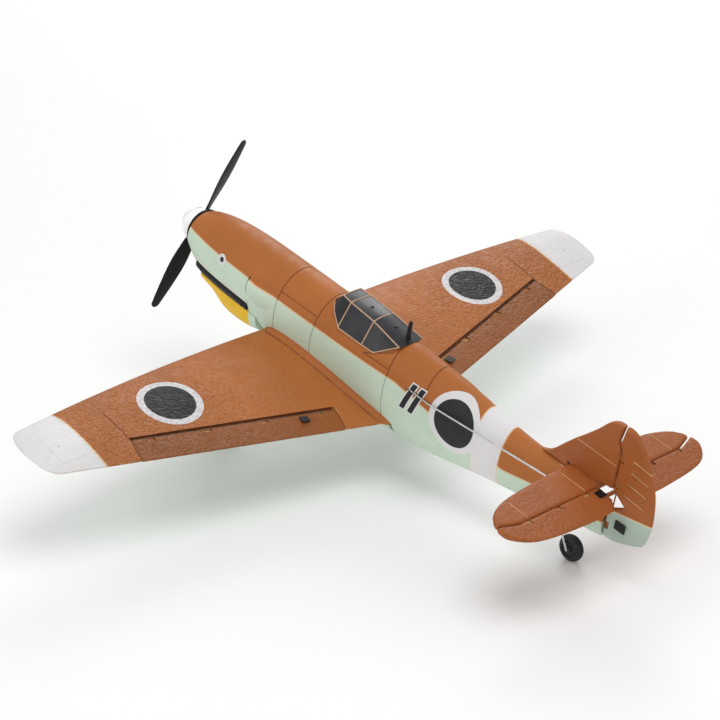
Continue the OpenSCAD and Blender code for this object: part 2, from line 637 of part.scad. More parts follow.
// Blade sections: distance out, chord, pitch angle
blade_rows = [[4, 5.4, 36], [12, 7, 29], [24, 9.6, 20], [34, 9.3, 15], [46, 7, 12], [54.4, 4.8, 10]];
function blade_ring(z) = let (row = smooth_row(blade_rows, z), c = row[1], t = 1.7 - z * 0.019)
    [for (a = [0:36:324]) let (u = c / 2 * cos(a), v = t / 2 * sin(a) + t * 0.35 * pow(sin(a / 2), 2))
        [u * cos(row[2]) - v * sin(row[2]), u * sin(row[2]) + v * cos(row[2]), z]];

module propeller() standing() color(black) translate([0, blade_y, 0]) rotate([0, -prop_rest,
    0]) difference() {
    union() {
        along_y(-3.4, 6.4, 4.6);
        for (turn = [0, 180]) rotate([0, turn, 0])
            loft([for (z = stations(3.5, prop_d / 2, 12)) blade_ring(z)]);
    }
    along_y(-5, 10, prop_shaft_r + 0.01);
}

spinner_r = 10.7;
spinner_length = 15.4;
spinner_wall = 1;
// Half outline of the spinner's nose, from its tip out to its rim
function ogive(r, length, n) = [for (i = [0:n]) [r * pow(sin(90 * i / n), 0.82), length * i / n]];
function inner_ogive() = [for (p = ogive(spinner_r - spinner_wall, spinner_length - spinner_wall,
    10)) p + [0, spinner_wall]];
module spinner() standing() color("white") difference() {
    rotate([-90, 0, 0]) rotate_extrude()
        polygon(concat(ogive(spinner_r, spinner_length, 14), [for (i = [10:-1:0]) inner_ogive()[i]]));
    rotate([0, -prop_rest, 0]) translate([-4.2, blade_y - 4, -20]) cube([8.4, 12, 40]);
}
module spinner_backplate() standing() color(black) difference() {
    along_y(spinner_length + 0.1, 1.6, spinner_r + 0.6);
    along_y(10, 10, prop_shaft_r + 0.01);
}

// ---- Battery and receiver ----

module battery_tray() standing() color([0.80, 0.68, 0.48]) difference() {
    translate([-11.2, 57, -12.9]) cube([22.4, 29, 1.2]);
    for (side = [-1, 1]) translate([side * 10.2 - 0.5, 66.8, -14]) cube([1, 8.4, 4]);
}
module battery() standing() color([0.25, 0.35, 0.60]) {
    translate([-8.8, 58, -21.6]) cube([17.6, 25, 8.6]);
    translate([-6, 83, -20]) cube([12, 2.4, 5.5]);
}
module battery_strap() standing() color(black) translate([0, 67, 0]) rotate([-90, 0,
    0]) linear_extrude(8) difference() {
    translate([-10.5, 10.8]) square([21, 11.8]);
    translate([-9.9, 11.6]) square([19.8, 10.1]);
}
module receiver_board() standing() color([0.10, 0.35, 0.20]) {
    translate([-10, 98, -11.6]) cube([20, 32, 1.2]);
    translate([-5, 102, -10.4]) cube([9, 9, 1.4]);
    translate([-7, 116, -10.4]) cube([6, 6, 2]);
    for (i = [0:3]) translate([2.4, 114 + i * 3.6, -10.4]) cube([5, 2.6, 3.2]);
}

// ---- Undercarriage ----

leg_r = 0.8;
wheel_w = 7;
wheel_x = track / 2;
module gear_mounts() standing() color(black) for (side = [-1, 1]) difference() {
    translate([side * mount_at[0] - mount_size[0] / 2, mount_at[1] - mount_size[1] / 2,
        mount_top - mount_size[2]])
        cube(mount_size);
    translate([side * mount_at[0], mount_at[1], mount_top - 6]) cylinder(r = leg_r + running, h = 5);
}
module gear_legs() standing() color(steel) for (side = [-1, 1]) {
    knee = [side * (wheel_x - 5.2), main_wheel_y, main_wheel_z];
    top = [side * mount_at[0], mount_at[1], mount_top - 1.2];
    wire([top, top - [0, 0, 4.5], knee, [side * (wheel_x + 6.4), main_wheel_y, main_wheel_z]], leg_r);
}
// Tyre on a dished hub, axle along X
module wheel(diameter, width, bore) rotate([0, 90, 0]) rotate_extrude($fn = 64) difference() {
    r = diameter / 2;
    union() {
        translate([bore, -width * 0.32]) square([r * 0.62 - bore, width * 0.64]);
        translate([bore, -width / 2]) square([r * 0.22, width]);
        translate([r - width / 2, 0]) intersection() {
            circle(r = width / 2);
            translate([-width / 2 + 0.3, -width / 2]) square([width, width]);
        }
    }
    for (side = [-1, 1]) translate([r * 0.42, side * width * 0.36]) circle(r = width * 0.13);
}
module main_wheel(side) translate([side * wheel_x, main_wheel_y, main_wheel_z]) wheel(main_wheel_d,
    wheel_w, leg_r + running);
module wheel_left() standing() color(black) main_wheel(1);
module wheel_right() standing() color(black) main_wheel(-1);
module wheel_collars() standing() color(steel) for (side = [-1, 1]) translate([0, main_wheel_y, main_wheel_z])
    difference() {
        along_x(side > 0 ? wheel_x + 3.7 : -wheel_x - 5.9, 2.2, 2);
        along_x(side * wheel_x - 10, 20, leg_r + 0.02);
    }

tail_leg_r = 0.6;
tail_wheel_w = 5;
tail_leg_top = [0, 306, -4];
tail_leg_knee = [0, 306.6, -12.5];
module tail_leg_bore() bar(tail_leg_knee, tail_leg_top + (tail_leg_top - tail_leg_knee) / 20,
    tail_leg_r + 0.08);
module tail_leg() standing() color(steel) {
    side_x = tail_wheel_w / 2 + 1.3;
    wire([tail_leg_top, tail_leg_knee, [side_x, 309, -17.5], [side_x, tail_wheel_at[1], tail_wheel_at[2]],
        [-side_x, tail_wheel_at[1], tail_wheel_at[2]]], tail_leg_r);
}
module tail_wheel() standing() color(black) translate(tail_wheel_at) wheel(tail_wheel_d, tail_wheel_w,
    tail_leg_r + running);

fuselage_left();
fuselage_right();
belly_pan();
battery_hatch();
hatch_magnets();
bay_magnets();
canopy();
antenna_mast();
exhaust_left();
exhaust_right();
supercharger_intake();
wing_left();
wing_right();
wing_spars();
aileron_left();
aileron_right();
aileron_hinges();
aileron_horn_left();
aileron_horn_right();
aileron_servo_left();
aileron_servo_right();
aileron_servo_arm_left();
aileron_servo_arm_right();
aileron_rod_left();
aileron_rod_right();
stabilizer();
fin();
elevator();
rudder();
tail_hinges();
elevator_horn();
rudder_horn();
servo_tray();
elevator_servo();
rudder_servo();
elevator_servo_arm();
rudder_servo_arm();
elevator_rod();
rudder_rod();
motor_mount();
shaft_bushes();
motor();
motor_pinion();
spur_gear();
prop_shaft();
propeller();
spinner();
spinner_backplate();
battery_tray();
battery();
battery_strap();
receiver_board();
gear_mounts();
gear_legs();
wheel_left();
wheel_right();
wheel_collars();
tail_leg();
tail_wheel();
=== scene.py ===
"""The looks of a small foam radio-control warbird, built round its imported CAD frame.

Shapes are written in the plane's own level frame, in millimetres: +X is its left wing, +Y is aft, +Z is up,
with the spinner's tip at the origin. stand() tips them nose-up onto the wheels, into the frame's metres.
"""
import json
import math

import bmesh
import bpy
import numpy as np
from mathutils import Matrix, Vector


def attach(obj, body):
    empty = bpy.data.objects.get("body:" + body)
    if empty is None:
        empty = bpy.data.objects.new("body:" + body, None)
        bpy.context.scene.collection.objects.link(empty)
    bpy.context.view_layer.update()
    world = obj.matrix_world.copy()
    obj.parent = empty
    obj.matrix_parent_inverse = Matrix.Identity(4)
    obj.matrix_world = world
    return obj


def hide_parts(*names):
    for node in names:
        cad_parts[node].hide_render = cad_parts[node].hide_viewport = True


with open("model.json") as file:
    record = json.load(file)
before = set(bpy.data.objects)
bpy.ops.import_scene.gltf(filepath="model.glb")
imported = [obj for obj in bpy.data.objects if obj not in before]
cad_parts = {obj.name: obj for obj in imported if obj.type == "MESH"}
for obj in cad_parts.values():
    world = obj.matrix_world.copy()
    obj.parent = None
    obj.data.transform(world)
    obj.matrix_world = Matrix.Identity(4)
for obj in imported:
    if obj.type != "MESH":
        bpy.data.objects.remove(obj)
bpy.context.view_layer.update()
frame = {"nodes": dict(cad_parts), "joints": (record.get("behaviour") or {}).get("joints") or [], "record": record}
NODES = frame["nodes"]
JOINTS = {j["name"]: j for j in frame["joints"]}
MM = 0.001

# ---- The level frame ----

STAND = math.radians(12.2)
COS, SIN = math.cos(STAND), math.sin(STAND)
BLADE_Y = 12.4
HUB = np.array(JOINTS["propeller_spin"]["pos_m"]) / MM
SHIFT = HUB - np.array([0, BLADE_Y * COS, -BLADE_Y * SIN])


def stand(points):
    """Level millimetres to the frame's metres."""
    x, y, z = np.asarray(points, float).reshape(-1, 3).T
    return (np.column_stack([x, y * COS + z * SIN, z * COS - y * SIN]) + SHIFT) * MM


def level(point):
    """The frame's metres to level millimetres."""
    x, y, z = np.asarray(point, float) / MM - SHIFT
    return np.array([x, y * COS - z * SIN, y * SIN + z * COS])


def facing(x, y, z):
    """Direction in the frame of a direction in level millimetres."""
    return Vector(stand([(x, y, z)])[0] - stand([(0, 0, 0)])[0]).normalized()


def turn(count):
    """Angles of a full turn."""
    return np.linspace(0, 2 * math.pi, count, endpoint=False)


def hand(side):
    return "left" if side > 0 else "right"


# ---- Camera, light and floor ----

CAMERA_AT = Vector((0.8406, 0.8737, 0.6452))
LOOK = Vector((-0.61433, -0.66178, -0.42971))


def in_scene(name, data):
    """New object, linked into the scene."""
    obj = bpy.data.objects.new(name, data)
    bpy.context.scene.collection.objects.link(obj)
    return obj


def camera():
    data = bpy.data.cameras.new("camera")
    data.lens, data.sensor_width = 128, 36
    data.clip_start, data.clip_end = 0.05, 50
    obj = in_scene("camera", data)
    obj.location = CAMERA_AT
    obj.rotation_mode = "QUATERNION"
    obj.rotation_quaternion = LOOK.to_track_quat("-Z", "Y")
    bpy.context.scene.camera = obj


def softbox(name, at, size, power):
    data = bpy.data.lights.new(name, "AREA")
    data.shape, data.size, data.energy = "DISK", size, power
    obj = in_scene(name, data)
    obj.location = at
    obj.rotation_mode = "QUATERNION"
    obj.rotation_quaternion = (Vector((0, 0, 0.06)) - Vector(at)).to_track_quat("-Z", "Y")


def studio():
    softbox("key", (0.1, 0.5, 1.5), 1.1, 9)
    softbox("fill", (1.5, -0.2, 0.7), 1.2, 5)
    softbox("rim", (-1.1, -1.0, 1.0), 0.9, 8)
    world = bpy.data.worlds.new("studio")
    world.use_nodes = True
    light = world.node_tree.nodes["Background"].inputs
    light["Color"].default_value = (1, 1, 1, 1)
    light["Strength"].default_value = 0.62
    bpy.context.scene.world = world
    bpy.context.scene.view_settings.view_transform = "Standard"
    mesh = bpy.data.meshes.new("floor")
    half = 6
    mesh.from_pydata([(-half, -half, 0), (half, -half, 0), (half, half, 0), (-half, half, 0)], [],
                     [(0, 1, 2, 3)])
    floor = in_scene("floor", mesh)
    mesh.materials.append(floor_material())


# ---- Numbers and colours worked out in material nodes ----


def fill(tree, slot, value):
    """Gives a node's input a number, or links it to one that is worked out."""
    if isinstance(value, Num):
        tree.links.new(value.socket, slot)
    else:
        slot.default_value = value


class Num:
    """A number in a material's node tree, with ordinary arithmetic."""

    def __init__(self, tree, socket):
        self.tree, self.socket = tree, socket

    def math(self, operation, *others, clamp=False):
        node = self.tree.nodes.new("ShaderNodeMath")
        node.operation, node.use_clamp = operation, clamp
        for slot, value in zip(node.inputs, (self, *others)):
            fill(self.tree, slot, value)
        return Num(self.tree, node.outputs[0])

    def __add__(self, other):
        return self.math("ADD", other)

    def __sub__(self, other):
        return self.math("SUBTRACT", other)

    def __mul__(self, other):
        return self.math("MULTIPLY", other)

    def __truediv__(self, other):
        return self.math("DIVIDE", other)

    def __neg__(self):
        return self * -1

    def __abs__(self):
        return self.math("ABSOLUTE")

    def ramp(self, start, end, low=0.0, high=1.0):
        """From low to high as the number goes from start to end, smoothly, and held beyond them."""
        node = self.tree.nodes.new("ShaderNodeMapRange")
        node.interpolation_type = "SMOOTHSTEP"
        self.tree.links.new(self.socket, node.inputs["Value"])
        for name, value in (("From Min", start), ("From Max", end), ("To Min", low), ("To Max", high)):
            node.inputs[name].default_value = value
        return Num(self.tree, node.outputs["Result"])

    def inside(self, edge=0.0, soft=0.12):
        """1 where the number is below edge, 0 above it."""
        return self.ramp(edge - soft, edge + soft, 1.0, 0.0)

    def between(self, start, end, soft=0.12):
        return self.ramp(start - soft, start + soft) * self.inside(end, soft)

    def curve(self, points):
        """Straight lines through points, as a function of this number."""
        xs, ys = zip(*points)
        x0, x1, y0, y1 = xs[0], xs[-1], min(ys), max(ys)
        node = self.tree.nodes.new("ShaderNodeFloatCurve")
        line = node.mapping.curves[0]
        while len(line.points) < len(points):
            line.points.new(0.5, 0.5)
        for spot, (x, y) in zip(line.points, points):
            spot.location = ((x - x0) / (x1 - x0), (y - y0) / (y1 - y0))
            spot.handle_type = "VECTOR"
        node.mapping.update()
        share = (self - x0) / (x1 - x0)
        self.tree.links.new(share.math("ADD", 0.0, clamp=True).socket, node.inputs["Value"])
        return Num(self.tree, node.outputs[0]) * (y1 - y0) + y0


def distance(a, b):
    return (a * a + b * b).math("SQRT")


class Paint:
    """A material being built: its level coordinates in millimetres, and its colour so far."""

    def __init__(self, name, colour):
        self.material = bpy.data.materials.new(name)
        self.material.use_nodes = True
        self.tree = self.material.node_tree
        self.shader = self.tree.nodes["Principled BSDF"]
        coords = self.tree.nodes.new("ShaderNodeTexCoord")
        self.place = coords.outputs["Object"]
        split = self.tree.nodes.new("ShaderNodeSeparateXYZ")
        self.tree.links.new(self.place, split.inputs[0])
        row = [Num(self.tree, split.outputs[i]) / MM - float(SHIFT[i]) for i in range(3)]
        self.x, self.y, self.z = row[0], row[1] * COS - row[2] * SIN, row[1] * SIN + row[2] * COS
        rgb = self.tree.nodes.new("ShaderNodeRGB")
        rgb.outputs[0].default_value = (*colour, 1)
        self.colour = rgb.outputs[0]
        self.height = None

    def noise(self, size, detail=3.0, stretch=(1, 1, 1)):
        """Noise from 0 to 1, with features of about that many millimetres."""
        mapping = self.tree.nodes.new("ShaderNodeMapping")
        mapping.inputs["Scale"].default_value = stretch
        self.tree.links.new(self.place, mapping.inputs["Vector"])
        node = self.tree.nodes.new("ShaderNodeTexNoise")
        node.inputs["Scale"].default_value = 1 / (size * MM)
        node.inputs["Detail"].default_value = detail
        self.tree.links.new(mapping.outputs[0], node.inputs["Vector"])
        return Num(self.tree, node.outputs[0])

    def cells(self, size):
        """Rounded cells: 0 in the middle of each, rising to its edge."""
        node = self.tree.nodes.new("ShaderNodeTexVoronoi")
        node.feature = "SMOOTH_F1"
        node.inputs["Scale"].default_value = 1 / (size * MM)
        node.inputs["Smoothness"].default_value = 0.35
        self.tree.links.new(self.place, node.inputs["Vector"])
        return Num(self.tree, node.outputs["Distance"])

    def cover(self, colour, share):
        """Lays a colour over what is there, as far as share, from 0 to 1, says."""
        node = self.tree.nodes.new("ShaderNodeMix")
        node.data_type = "RGBA"
        fill(self.tree, node.inputs["Factor"], share)
        self.tree.links.new(self.colour, node.inputs["A"])
        node.inputs["B"].default_value = (*colour, 1)
        self.colour = node.outputs["Result"]

    def shade(self, amount):
        """Multiplies the colour by a number."""
        node = self.tree.nodes.new("ShaderNodeVectorMath")
        node.operation = "SCALE"
        self.tree.links.new(self.colour, node.inputs[0])
        self.tree.links.new(amount.socket, node.inputs["Scale"])
        self.colour = node.outputs[0]

    def raise_by(self, amount):
        """Adds to the height that the bump is made from, in millimetres."""
        self.height = amount if self.height is None else self.height + amount

    def done(self, rough, metal=0.0, coat=0.0, specular=0.5):
        self.tree.links.new(self.colour, self.shader.inputs["Base Color"])
        fill(self.tree, self.shader.inputs["Roughness"], rough)
        for name, value in (("Metallic", metal), ("Coat Weight", coat), ("Specular IOR Level", specular)):
            self.shader.inputs[name].default_value = value
        if self.height is not None:
            bump = self.tree.nodes.new("ShaderNodeBump")
            bump.inputs["Distance"].default_value = MM
            bump.inputs["Strength"].default_value = 1.0
            self.tree.links.new(self.height.socket, bump.inputs["Height"])
            self.tree.links.new(bump.outputs[0], self.shader.inputs["Normal"])
        return self.material


# ---- Colours ----

BROWN = (0.382, 0.118, 0.022)
# The tail's brown is the main brown darkened by about a fifth: painted shade
TAIL_BROWN_SHADED = (0.312, 0.088, 0.018)
GREEN = (0.510, 0.630, 0.505)
# The rudder's lower green is the underside green darkened: painted shade
RUDDER_GREEN_SHADED = (0.385, 0.470, 0.400)
YELLOW = (0.750, 0.445, 0.004)
CREAM = (0.720, 0.520, 0.300)
OFF_WHITE = (0.655, 0.640, 0.640)
INK = (0.012, 0.013, 0.016)
# Light brown painted along the tail's moulded lines: painted highlight on their raised edges
RIB_HIGHLIGHT = (0.560, 0.290, 0.140)
SEAM = (0.110, 0.028, 0.008)
GREEN_SEAM = (0.200, 0.290, 0.250)

# Moulded lines of the tail: heights on the rudder; distance out and front end on the stabilizer
RIBS = (25, 32, 39, 46)
STAB_LINES = ((52, 309), (12, 306))

# ---- Shape of the fuselage ----

# Distance aft, half width, top, bottom, height of the widest line
BODY_ROWS = np.array([
    [17.6, 12, 11, -13.2, -0.8], [24, 13.8, 14, -18.8, -1.8], [38, 16.2, 17.4, -23.8, -2.8],
    [60, 17.7, 19.5, -26, -3.2], [95, 18.3, 20.2, -28.5, -3.6], [130, 18, 20.8, -31, -4],
    [165, 16.8, 22.8, -32.6, -4], [190, 15.1, 23, -32.4, -4], [210, 13.3, 22.4, -30.3, -3.6],
    [230, 11.9, 21.7, -26, -3], [250, 10, 19, -21.2, -2.1], [270, 8.1, 17.4, -17.4, -0.9],
    [290, 6.2, 17.5, -13.8, 0.5], [310, 4.4, 17.9, -9.8, 2], [330, 2.7, 17.9, -6.3, 4]])
# Panel seams round the fuselage: distance aft, and the angles round the section that each runs between
RING_SEAMS = ((76, 2, 24), (99.5, -62, 90), (129, -62, 90), (184, -74, 90), (210, 34, 90))
# Panel seams along it: angle, and the distances aft that each runs between
LONG_SEAMS = ((35, 99.5, 129), (30, 165, 184))
SEAM_HALF, SEAM_DEEP = 0.38, 0.32
WALL = 3.2
# Side views: the canopy's cut-out, the hatch under the nose, and the oil cooler's parting line
CANOPY_LINE = ((131, 21.3), (144.5, 12.4), (171, 12.4), (190, 26), (190, 40), (131, 40))
HATCH_FROM, HATCH_TO, PARTING_Z = 34, 84, -15.5
# Where brown turns to green on the side: distance aft, height
PAINT_LINE = ((17, 4.2), (30, 4.8), (100, 5.2), (190, 5.6), (214, 1.8), (246, -1.6), (267, -3.7), (286, -0.7),
              (330, 3.0))
BAND_FROM, BAND_TO = 246, 263


def smooth_rows(rows, at):
    """Smooth curve through rows whose first column rises, at many places."""
    rows, at = np.asarray(rows, float), np.atleast_1d(np.asarray(at, float))
    i = np.clip(np.searchsorted(rows[:, 0], at, side="left") - 1, 0, len(rows) - 2)
    order = np.arange(len(rows))
    below, above = np.maximum(order - 1, 0), np.minimum(order + 1, len(rows) - 1)
    slopes = (rows[above] - rows[below]) / (rows[above, :1] - rows[below, :1])
    step = rows[i + 1, :1] - rows[i, :1]
    t = (at[:, None] - rows[i, :1]) / step
    return (rows[i] * (2 * t**3 - 3 * t**2 + 1) + slopes[i] * step * (t**3 - 2 * t**2 + t)
            + rows[i + 1] * (3 * t**2 - 2 * t**3) + slopes[i + 1] * step * (t**3 - t**2))


def skin(y, angle, inset=0.0):
    """Points of the fuselage's skin, angle in degrees round its section."""
    _, half, top, bottom, middle = smooth_rows(BODY_ROWS, y).T
    a = np.radians(angle)
    reach = np.where(np.sin(a) > 0, top - middle, middle - bottom) - inset
    x, z = (half - inset) * np.cos(a), middle + reach * np.sin(a)
    return np.stack([x, np.broadcast_to(y, np.shape(x)), z], -1)


def flank(y, z):
    """Half width of the fuselage at a height below its widest line."""
    _, half, _, bottom, middle = smooth_rows(BODY_ROWS, y)[0]
    return half * math.sqrt(max(0, 1 - ((middle - z) / (middle - bottom)) ** 2))


def with_lines(start, end, step, lines, half):
    """Even stations from start to end, with three close ones at each line that is to be pressed in."""
    marks = [v for line in lines for v in (line - half, line, line + half) if start < v < end]
    even = [v for v in np.linspace(start, end, int(abs(end - start) / step) + 1)
            if all(abs(v - m) > half * 0.8 for m in marks)]
    return np.array(sorted({start, end, *even, *marks}))


# ---- Mesh helpers ----


def tube_faces(rings, around):
    """Quads between closed rings of equal length."""
    return [(i * around + j, i * around + (j + 1) % around,
             (i + 1) * around + (j + 1) % around, (i + 1) * around + j)
            for i in range(rings - 1) for j in range(around)]


def loft(rings):
    """Closed solid through rings of equal length."""
    rings = np.asarray(rings, float)
    count, around = rings.shape[:2]
    caps = [tuple(range(around))[::-1], tuple(range((count - 1) * around, count * around))]
    return rings.reshape(-1, 3), tube_faces(count, around) + caps


def extrude(outline, axis, start, end):
    """Prism of an outline, along x, y or z. The outline's two numbers are the other two axes, in order."""
    def ring(at):
        points = np.asarray(outline, float)
        return np.insert(points, "xyz".index(axis), at, axis=1)
    return loft([ring(start), ring(end)])


def revolve(profile, around=64):
    """Solid of revolution about Y. The profile runs from the axis back to it, as (radius, y)."""
    rings = [[(r * math.cos(a), y, r * math.sin(a)) for a in turn(around)] for r, y in profile]
    return loft(rings)


def join(*parts):
    """Several meshes as one."""
    points, faces, base = [], [], 0
    for p, f in parts:
        points.append(np.asarray(p, float).reshape(-1, 3))
        faces += [tuple(i + base for i in face) for face in f]
        base += len(points[-1])
    return np.concatenate(points), faces


def mirrored(part):
    points, faces = part
    return np.asarray(points) * (-1, 1, 1), [face[::-1] for face in faces]


def sided(part, side):
    return part if side > 0 else mirrored(part)


def moved(part, by):
    return np.asarray(part[0]) + by, part[1]


def sweep(path, radius, around=10):
    """Round bar along a path."""
    path = np.asarray(path, float)
    along = np.gradient(path, axis=0)
    along /= np.linalg.norm(along, axis=1)[:, None]
    side = np.cross(along, (0.0, 0.0, 1.0))
    weak = np.linalg.norm(side, axis=1) < 1e-3
    side[weak] = (1, 0, 0)
    side /= np.linalg.norm(side, axis=1)[:, None]
    up = np.cross(side, along)
    return loft([[p + radius * (math.cos(a) * s + math.sin(a) * u) for a in turn(around)]
                 for p, s, u in zip(path, side, up)])


def mesh_object(name, part):
    mesh = bpy.data.meshes.new(name)
    mesh.from_pydata([tuple(v) for v in stand(part[0])], [], part[1])
    bm = bmesh.new()
    bm.from_mesh(mesh)
    bmesh.ops.remove_doubles(bm, verts=bm.verts, dist=1e-6)
    bmesh.ops.recalc_face_normals(bm, faces=bm.faces)
    bm.to_mesh(mesh)
    bm.free()
    return in_scene(name, mesh)


def apply_modifiers(obj):
    evaluated = obj.evaluated_get(bpy.context.evaluated_depsgraph_get())
    mesh = bpy.data.meshes.new_from_object(evaluated)
    obj.modifiers.clear()
    obj.data = mesh


def cut(obj, cutter, operation="DIFFERENCE"):
    tool = mesh_object("tool", cutter)
    modifier = obj.modifiers.new("cut", "BOOLEAN")
    modifier.operation, modifier.solver, modifier.object = operation, "EXACT", tool
    modifier.use_self = True
    apply_modifiers(obj)
    bpy.data.objects.remove(tool)


def piece(name, part, body, materials, replaces=(), cutter=None, keep=None, pick=None,
          crease=38):
    """A finished piece. cutter is taken away and keep is what stays; pick chooses each face's material."""
    obj = mesh_object(name, part)
    if cutter is not None:
        cut(obj, cutter)
    if keep is not None:
        cut(obj, keep, "INTERSECT")
    mesh = obj.data
    mesh.materials.clear()
    for material in materials:
        mesh.materials.append(material)
    mesh.polygons.foreach_set("use_smooth", [True] * len(mesh.polygons))
    for face in mesh.polygons:
        face.material_index = pick(face) if pick else 0
    mesh.set_sharp_from_angle(angle=math.radians(crease))
    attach(obj, body)
    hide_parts(*replaces)
    return obj


# ---- Materials ----


def foam_surface(paint, pebble):
    """Moulded bead foam under paint: soft colour changes, fine grain, and pebbles as strong as asked."""
    paint.shade(paint.noise(45, 2).ramp(0.3, 0.7, 0.93, 1.06))
    cells = paint.cells(1.75)
    # Painted light: the colour darkens towards each pebble's edge, as painted shade in the crevices between
    # pebbles, and is a little lighter on each crown
    paint.shade((cells * pebble).ramp(0.15, 0.8, 1.04, 0.82))
    paint.raise_by(cells * cells * pebble * -0.48)
    paint.raise_by(paint.noise(0.5, 2) * 0.03)
    worn = paint.tree.nodes.new("ShaderNodeNewGeometry").outputs["Pointiness"]
    edge = Num(paint.tree, worn).ramp(0.53, 0.60, 0.0, 0.35) * paint.noise(3, 3).ramp(0.4, 0.65)
    edge = edge * abs(paint.x).ramp(0.5, 1.2)
    paint.cover(CREAM, edge)
    return paint.done(paint.noise(6, 3).ramp(0.3, 0.7, 0.46, 0.60), specular=0.32)


def roundel(paint, across, along, radius):
    """A plain disc with a pale ring."""
    away = distance(across, along)
    paint.cover(OFF_WHITE, away.inside(radius))
    paint.cover(INK, away.inside(radius * 0.78))


def fuselage_foam():
    paint = Paint("foam_fuselage", BROWN)
    y, z = paint.y, paint.z
    over = z - y.curve(PAINT_LINE)
    paint.cover(GREEN, over.inside(0, 0.2))
    paint.cover(CREAM, abs(over).inside(0.45, 0.3) * 0.7)
    seam_colour = over.inside(0, 0.2)
    middle = y.curve([(r[0], r[4]) for r in BODY_ROWS])
    for aft, low, high in RING_SEAMS:
        row = smooth_rows(BODY_ROWS, aft)[0]
        ends = [row[4] + ((row[2] - row[4]) if a > 0 else (row[4] - row[3])) * math.sin(math.radians(a))
                for a in (low, high)]
        mark = abs(y - aft).inside(0.3, 0.22) * z.between(ends[0], ends[1] + 1, 0.4)
        paint.cover(SEAM, mark * (-seam_colour + 1) * 0.75)
        paint.cover(GREEN_SEAM, mark * seam_colour * 0.7)
    # Painted shadow: a black band at the intake bulge's front, where its opening lies in shade
    opening_shadow = abs(y - 75.9).inside(0.7, 0.2) * z.between(-2.6, 6.1, 0.3) * (paint.x).ramp(0, 1)
    paint.cover(INK, opening_shadow)
    paint.cover(SEAM, abs(z - 9.4 - (y - 165) * 0.494).inside(0.35, 0.22) * y.between(165, 182) * 0.7)
    for angle, start, end in LONG_SEAMS:
        top = y.curve([(r[0], r[2]) for r in BODY_ROWS])
        line = middle + (top - middle) * math.sin(math.radians(angle))
        paint.cover(SEAM, abs(z - line).inside(0.28, 0.22) * y.between(start, end) * 0.6)
    paint.cover(CREAM, y.between(BAND_FROM - 0.6, BAND_TO + 0.6, 0.25) * 0.8)
    paint.cover(OFF_WHITE, y.between(BAND_FROM, BAND_TO, 0.15))
    roundel(paint, y - 232, z - 4, 16.5)
    bars = [(y - at) - (z - 2.6) * 0.3 for at in (200.3, 206)]
    for colour, half, low, high in ((OFF_WHITE, 2.3, -6.1, 11.4), (INK, 1.6, -5.4, 10.7)):
        for bar in bars:
            paint.cover(colour, abs(bar).inside(half) * z.between(low, high))
    spot = distance(y - 52, z - 4)
    paint.cover(OFF_WHITE, spot.inside(3.1))
    paint.cover(INK, spot.inside(1.5))
    return foam_surface(paint, 0.10)


def wing_foam(name, colour):
    paint = Paint(name, colour)
    x, y = abs(paint.x), paint.y
    tip = x - 169 - ((y - 128) * (y - 128)) * 0.0011
    paint.cover(CREAM, (-tip).inside(0.9, 0.4))
    paint.cover(OFF_WHITE, (-tip).inside(0, 0.25))
    roundel(paint, x - 110, y - 125.8, 17.5)
    paint.cover(SEAM, abs(x - 147).inside(0.25, 0.25) * y.between(118, 141) * 0.6)
    for at, across in ((70, 108), (90, 146), (150, 112), (46, 150), (128, 140), (183, 128)):
        paint.cover(SEAM, distance(x - at, y - across).inside(0.5, 0.5) * 0.55)
    grey = (0.45, 0.43, 0.43)
    paint.cover(grey, abs(y - 139).inside(0.2, 0.25) * x.between(172, 188) * 0.6)
    paint.cover(grey, abs(x - 188).inside(0.2, 0.25) * y.between(112, 139) * 0.5)
    # Painted shade: a dark band along the hinge groove, in its hollow
    aft = (y - float(HINGE_IN[1])) * math.cos(HINGE_YAW) - (x - HINGE_IN_X) * math.sin(HINGE_YAW)
    paint.cover(SEAM, aft.between(-2.9, -1.2, 0.15) * x.between(HINGE_IN_X, HINGE_OUT_X, 0.2) * 0.85)
    return foam_surface(paint, x.ramp(30, 120, 0.4, 1.0) * (-tip).ramp(-3, 2, 0.4, 1.0))


def tail_foam(name, under=False):
    # Base colour: the tail's brown, with painted shade
    paint = Paint(name, TAIL_BROWN_SHADED)
    y, z = paint.y, paint.z
    if under:
        line = z - y.curve([(330, 11.4), (335, 12.9), (357.8, 17.4)])
        # Lower part of the rudder: green with painted shade
        paint.cover(RUDDER_GREEN_SHADED, line.inside(0, 0.2))
        paint.cover(CREAM, abs(line).inside(0.35, 0.25) * 0.8)
        # Painted highlight along the rudder's moulded ribs
        for at in RIBS:
            rib = abs(z - at + (y - 339) * 0.1)
            paint.cover(RIB_HIGHLIGHT, rib.inside(0.28, 0.2) * y.between(338.4, 351, 0.3) * 0.75)
    else:
        # Painted highlight along the fin's and stabilizer's moulded lines
        paint.cover(RIB_HIGHLIGHT, abs(z - 37.5).inside(0.25, 0.2) * y.between(303, 329.5, 0.3) * 0.7)
        for at, start in STAB_LINES:
            paint.cover(RIB_HIGHLIGHT, abs(abs(paint.x) - at).inside(0.25, 0.2) * y.between(start, 322.4, 0.3) * 0.7)
    return foam_surface(paint, abs(paint.x).ramp(8, 40, 0.35, 0.75) * y.ramp(320, 326, 0.7, 1.0))


def plain_foam(name, colour, pebble=0.25):
    paint = Paint(name, colour)
    return foam_surface(paint, pebble)


def chin_foam():
    paint = Paint("foam_yellow", YELLOW)
    paint.cover(GREEN, paint.y.ramp(77.8, 78.2))
    return foam_surface(paint, 0.2)


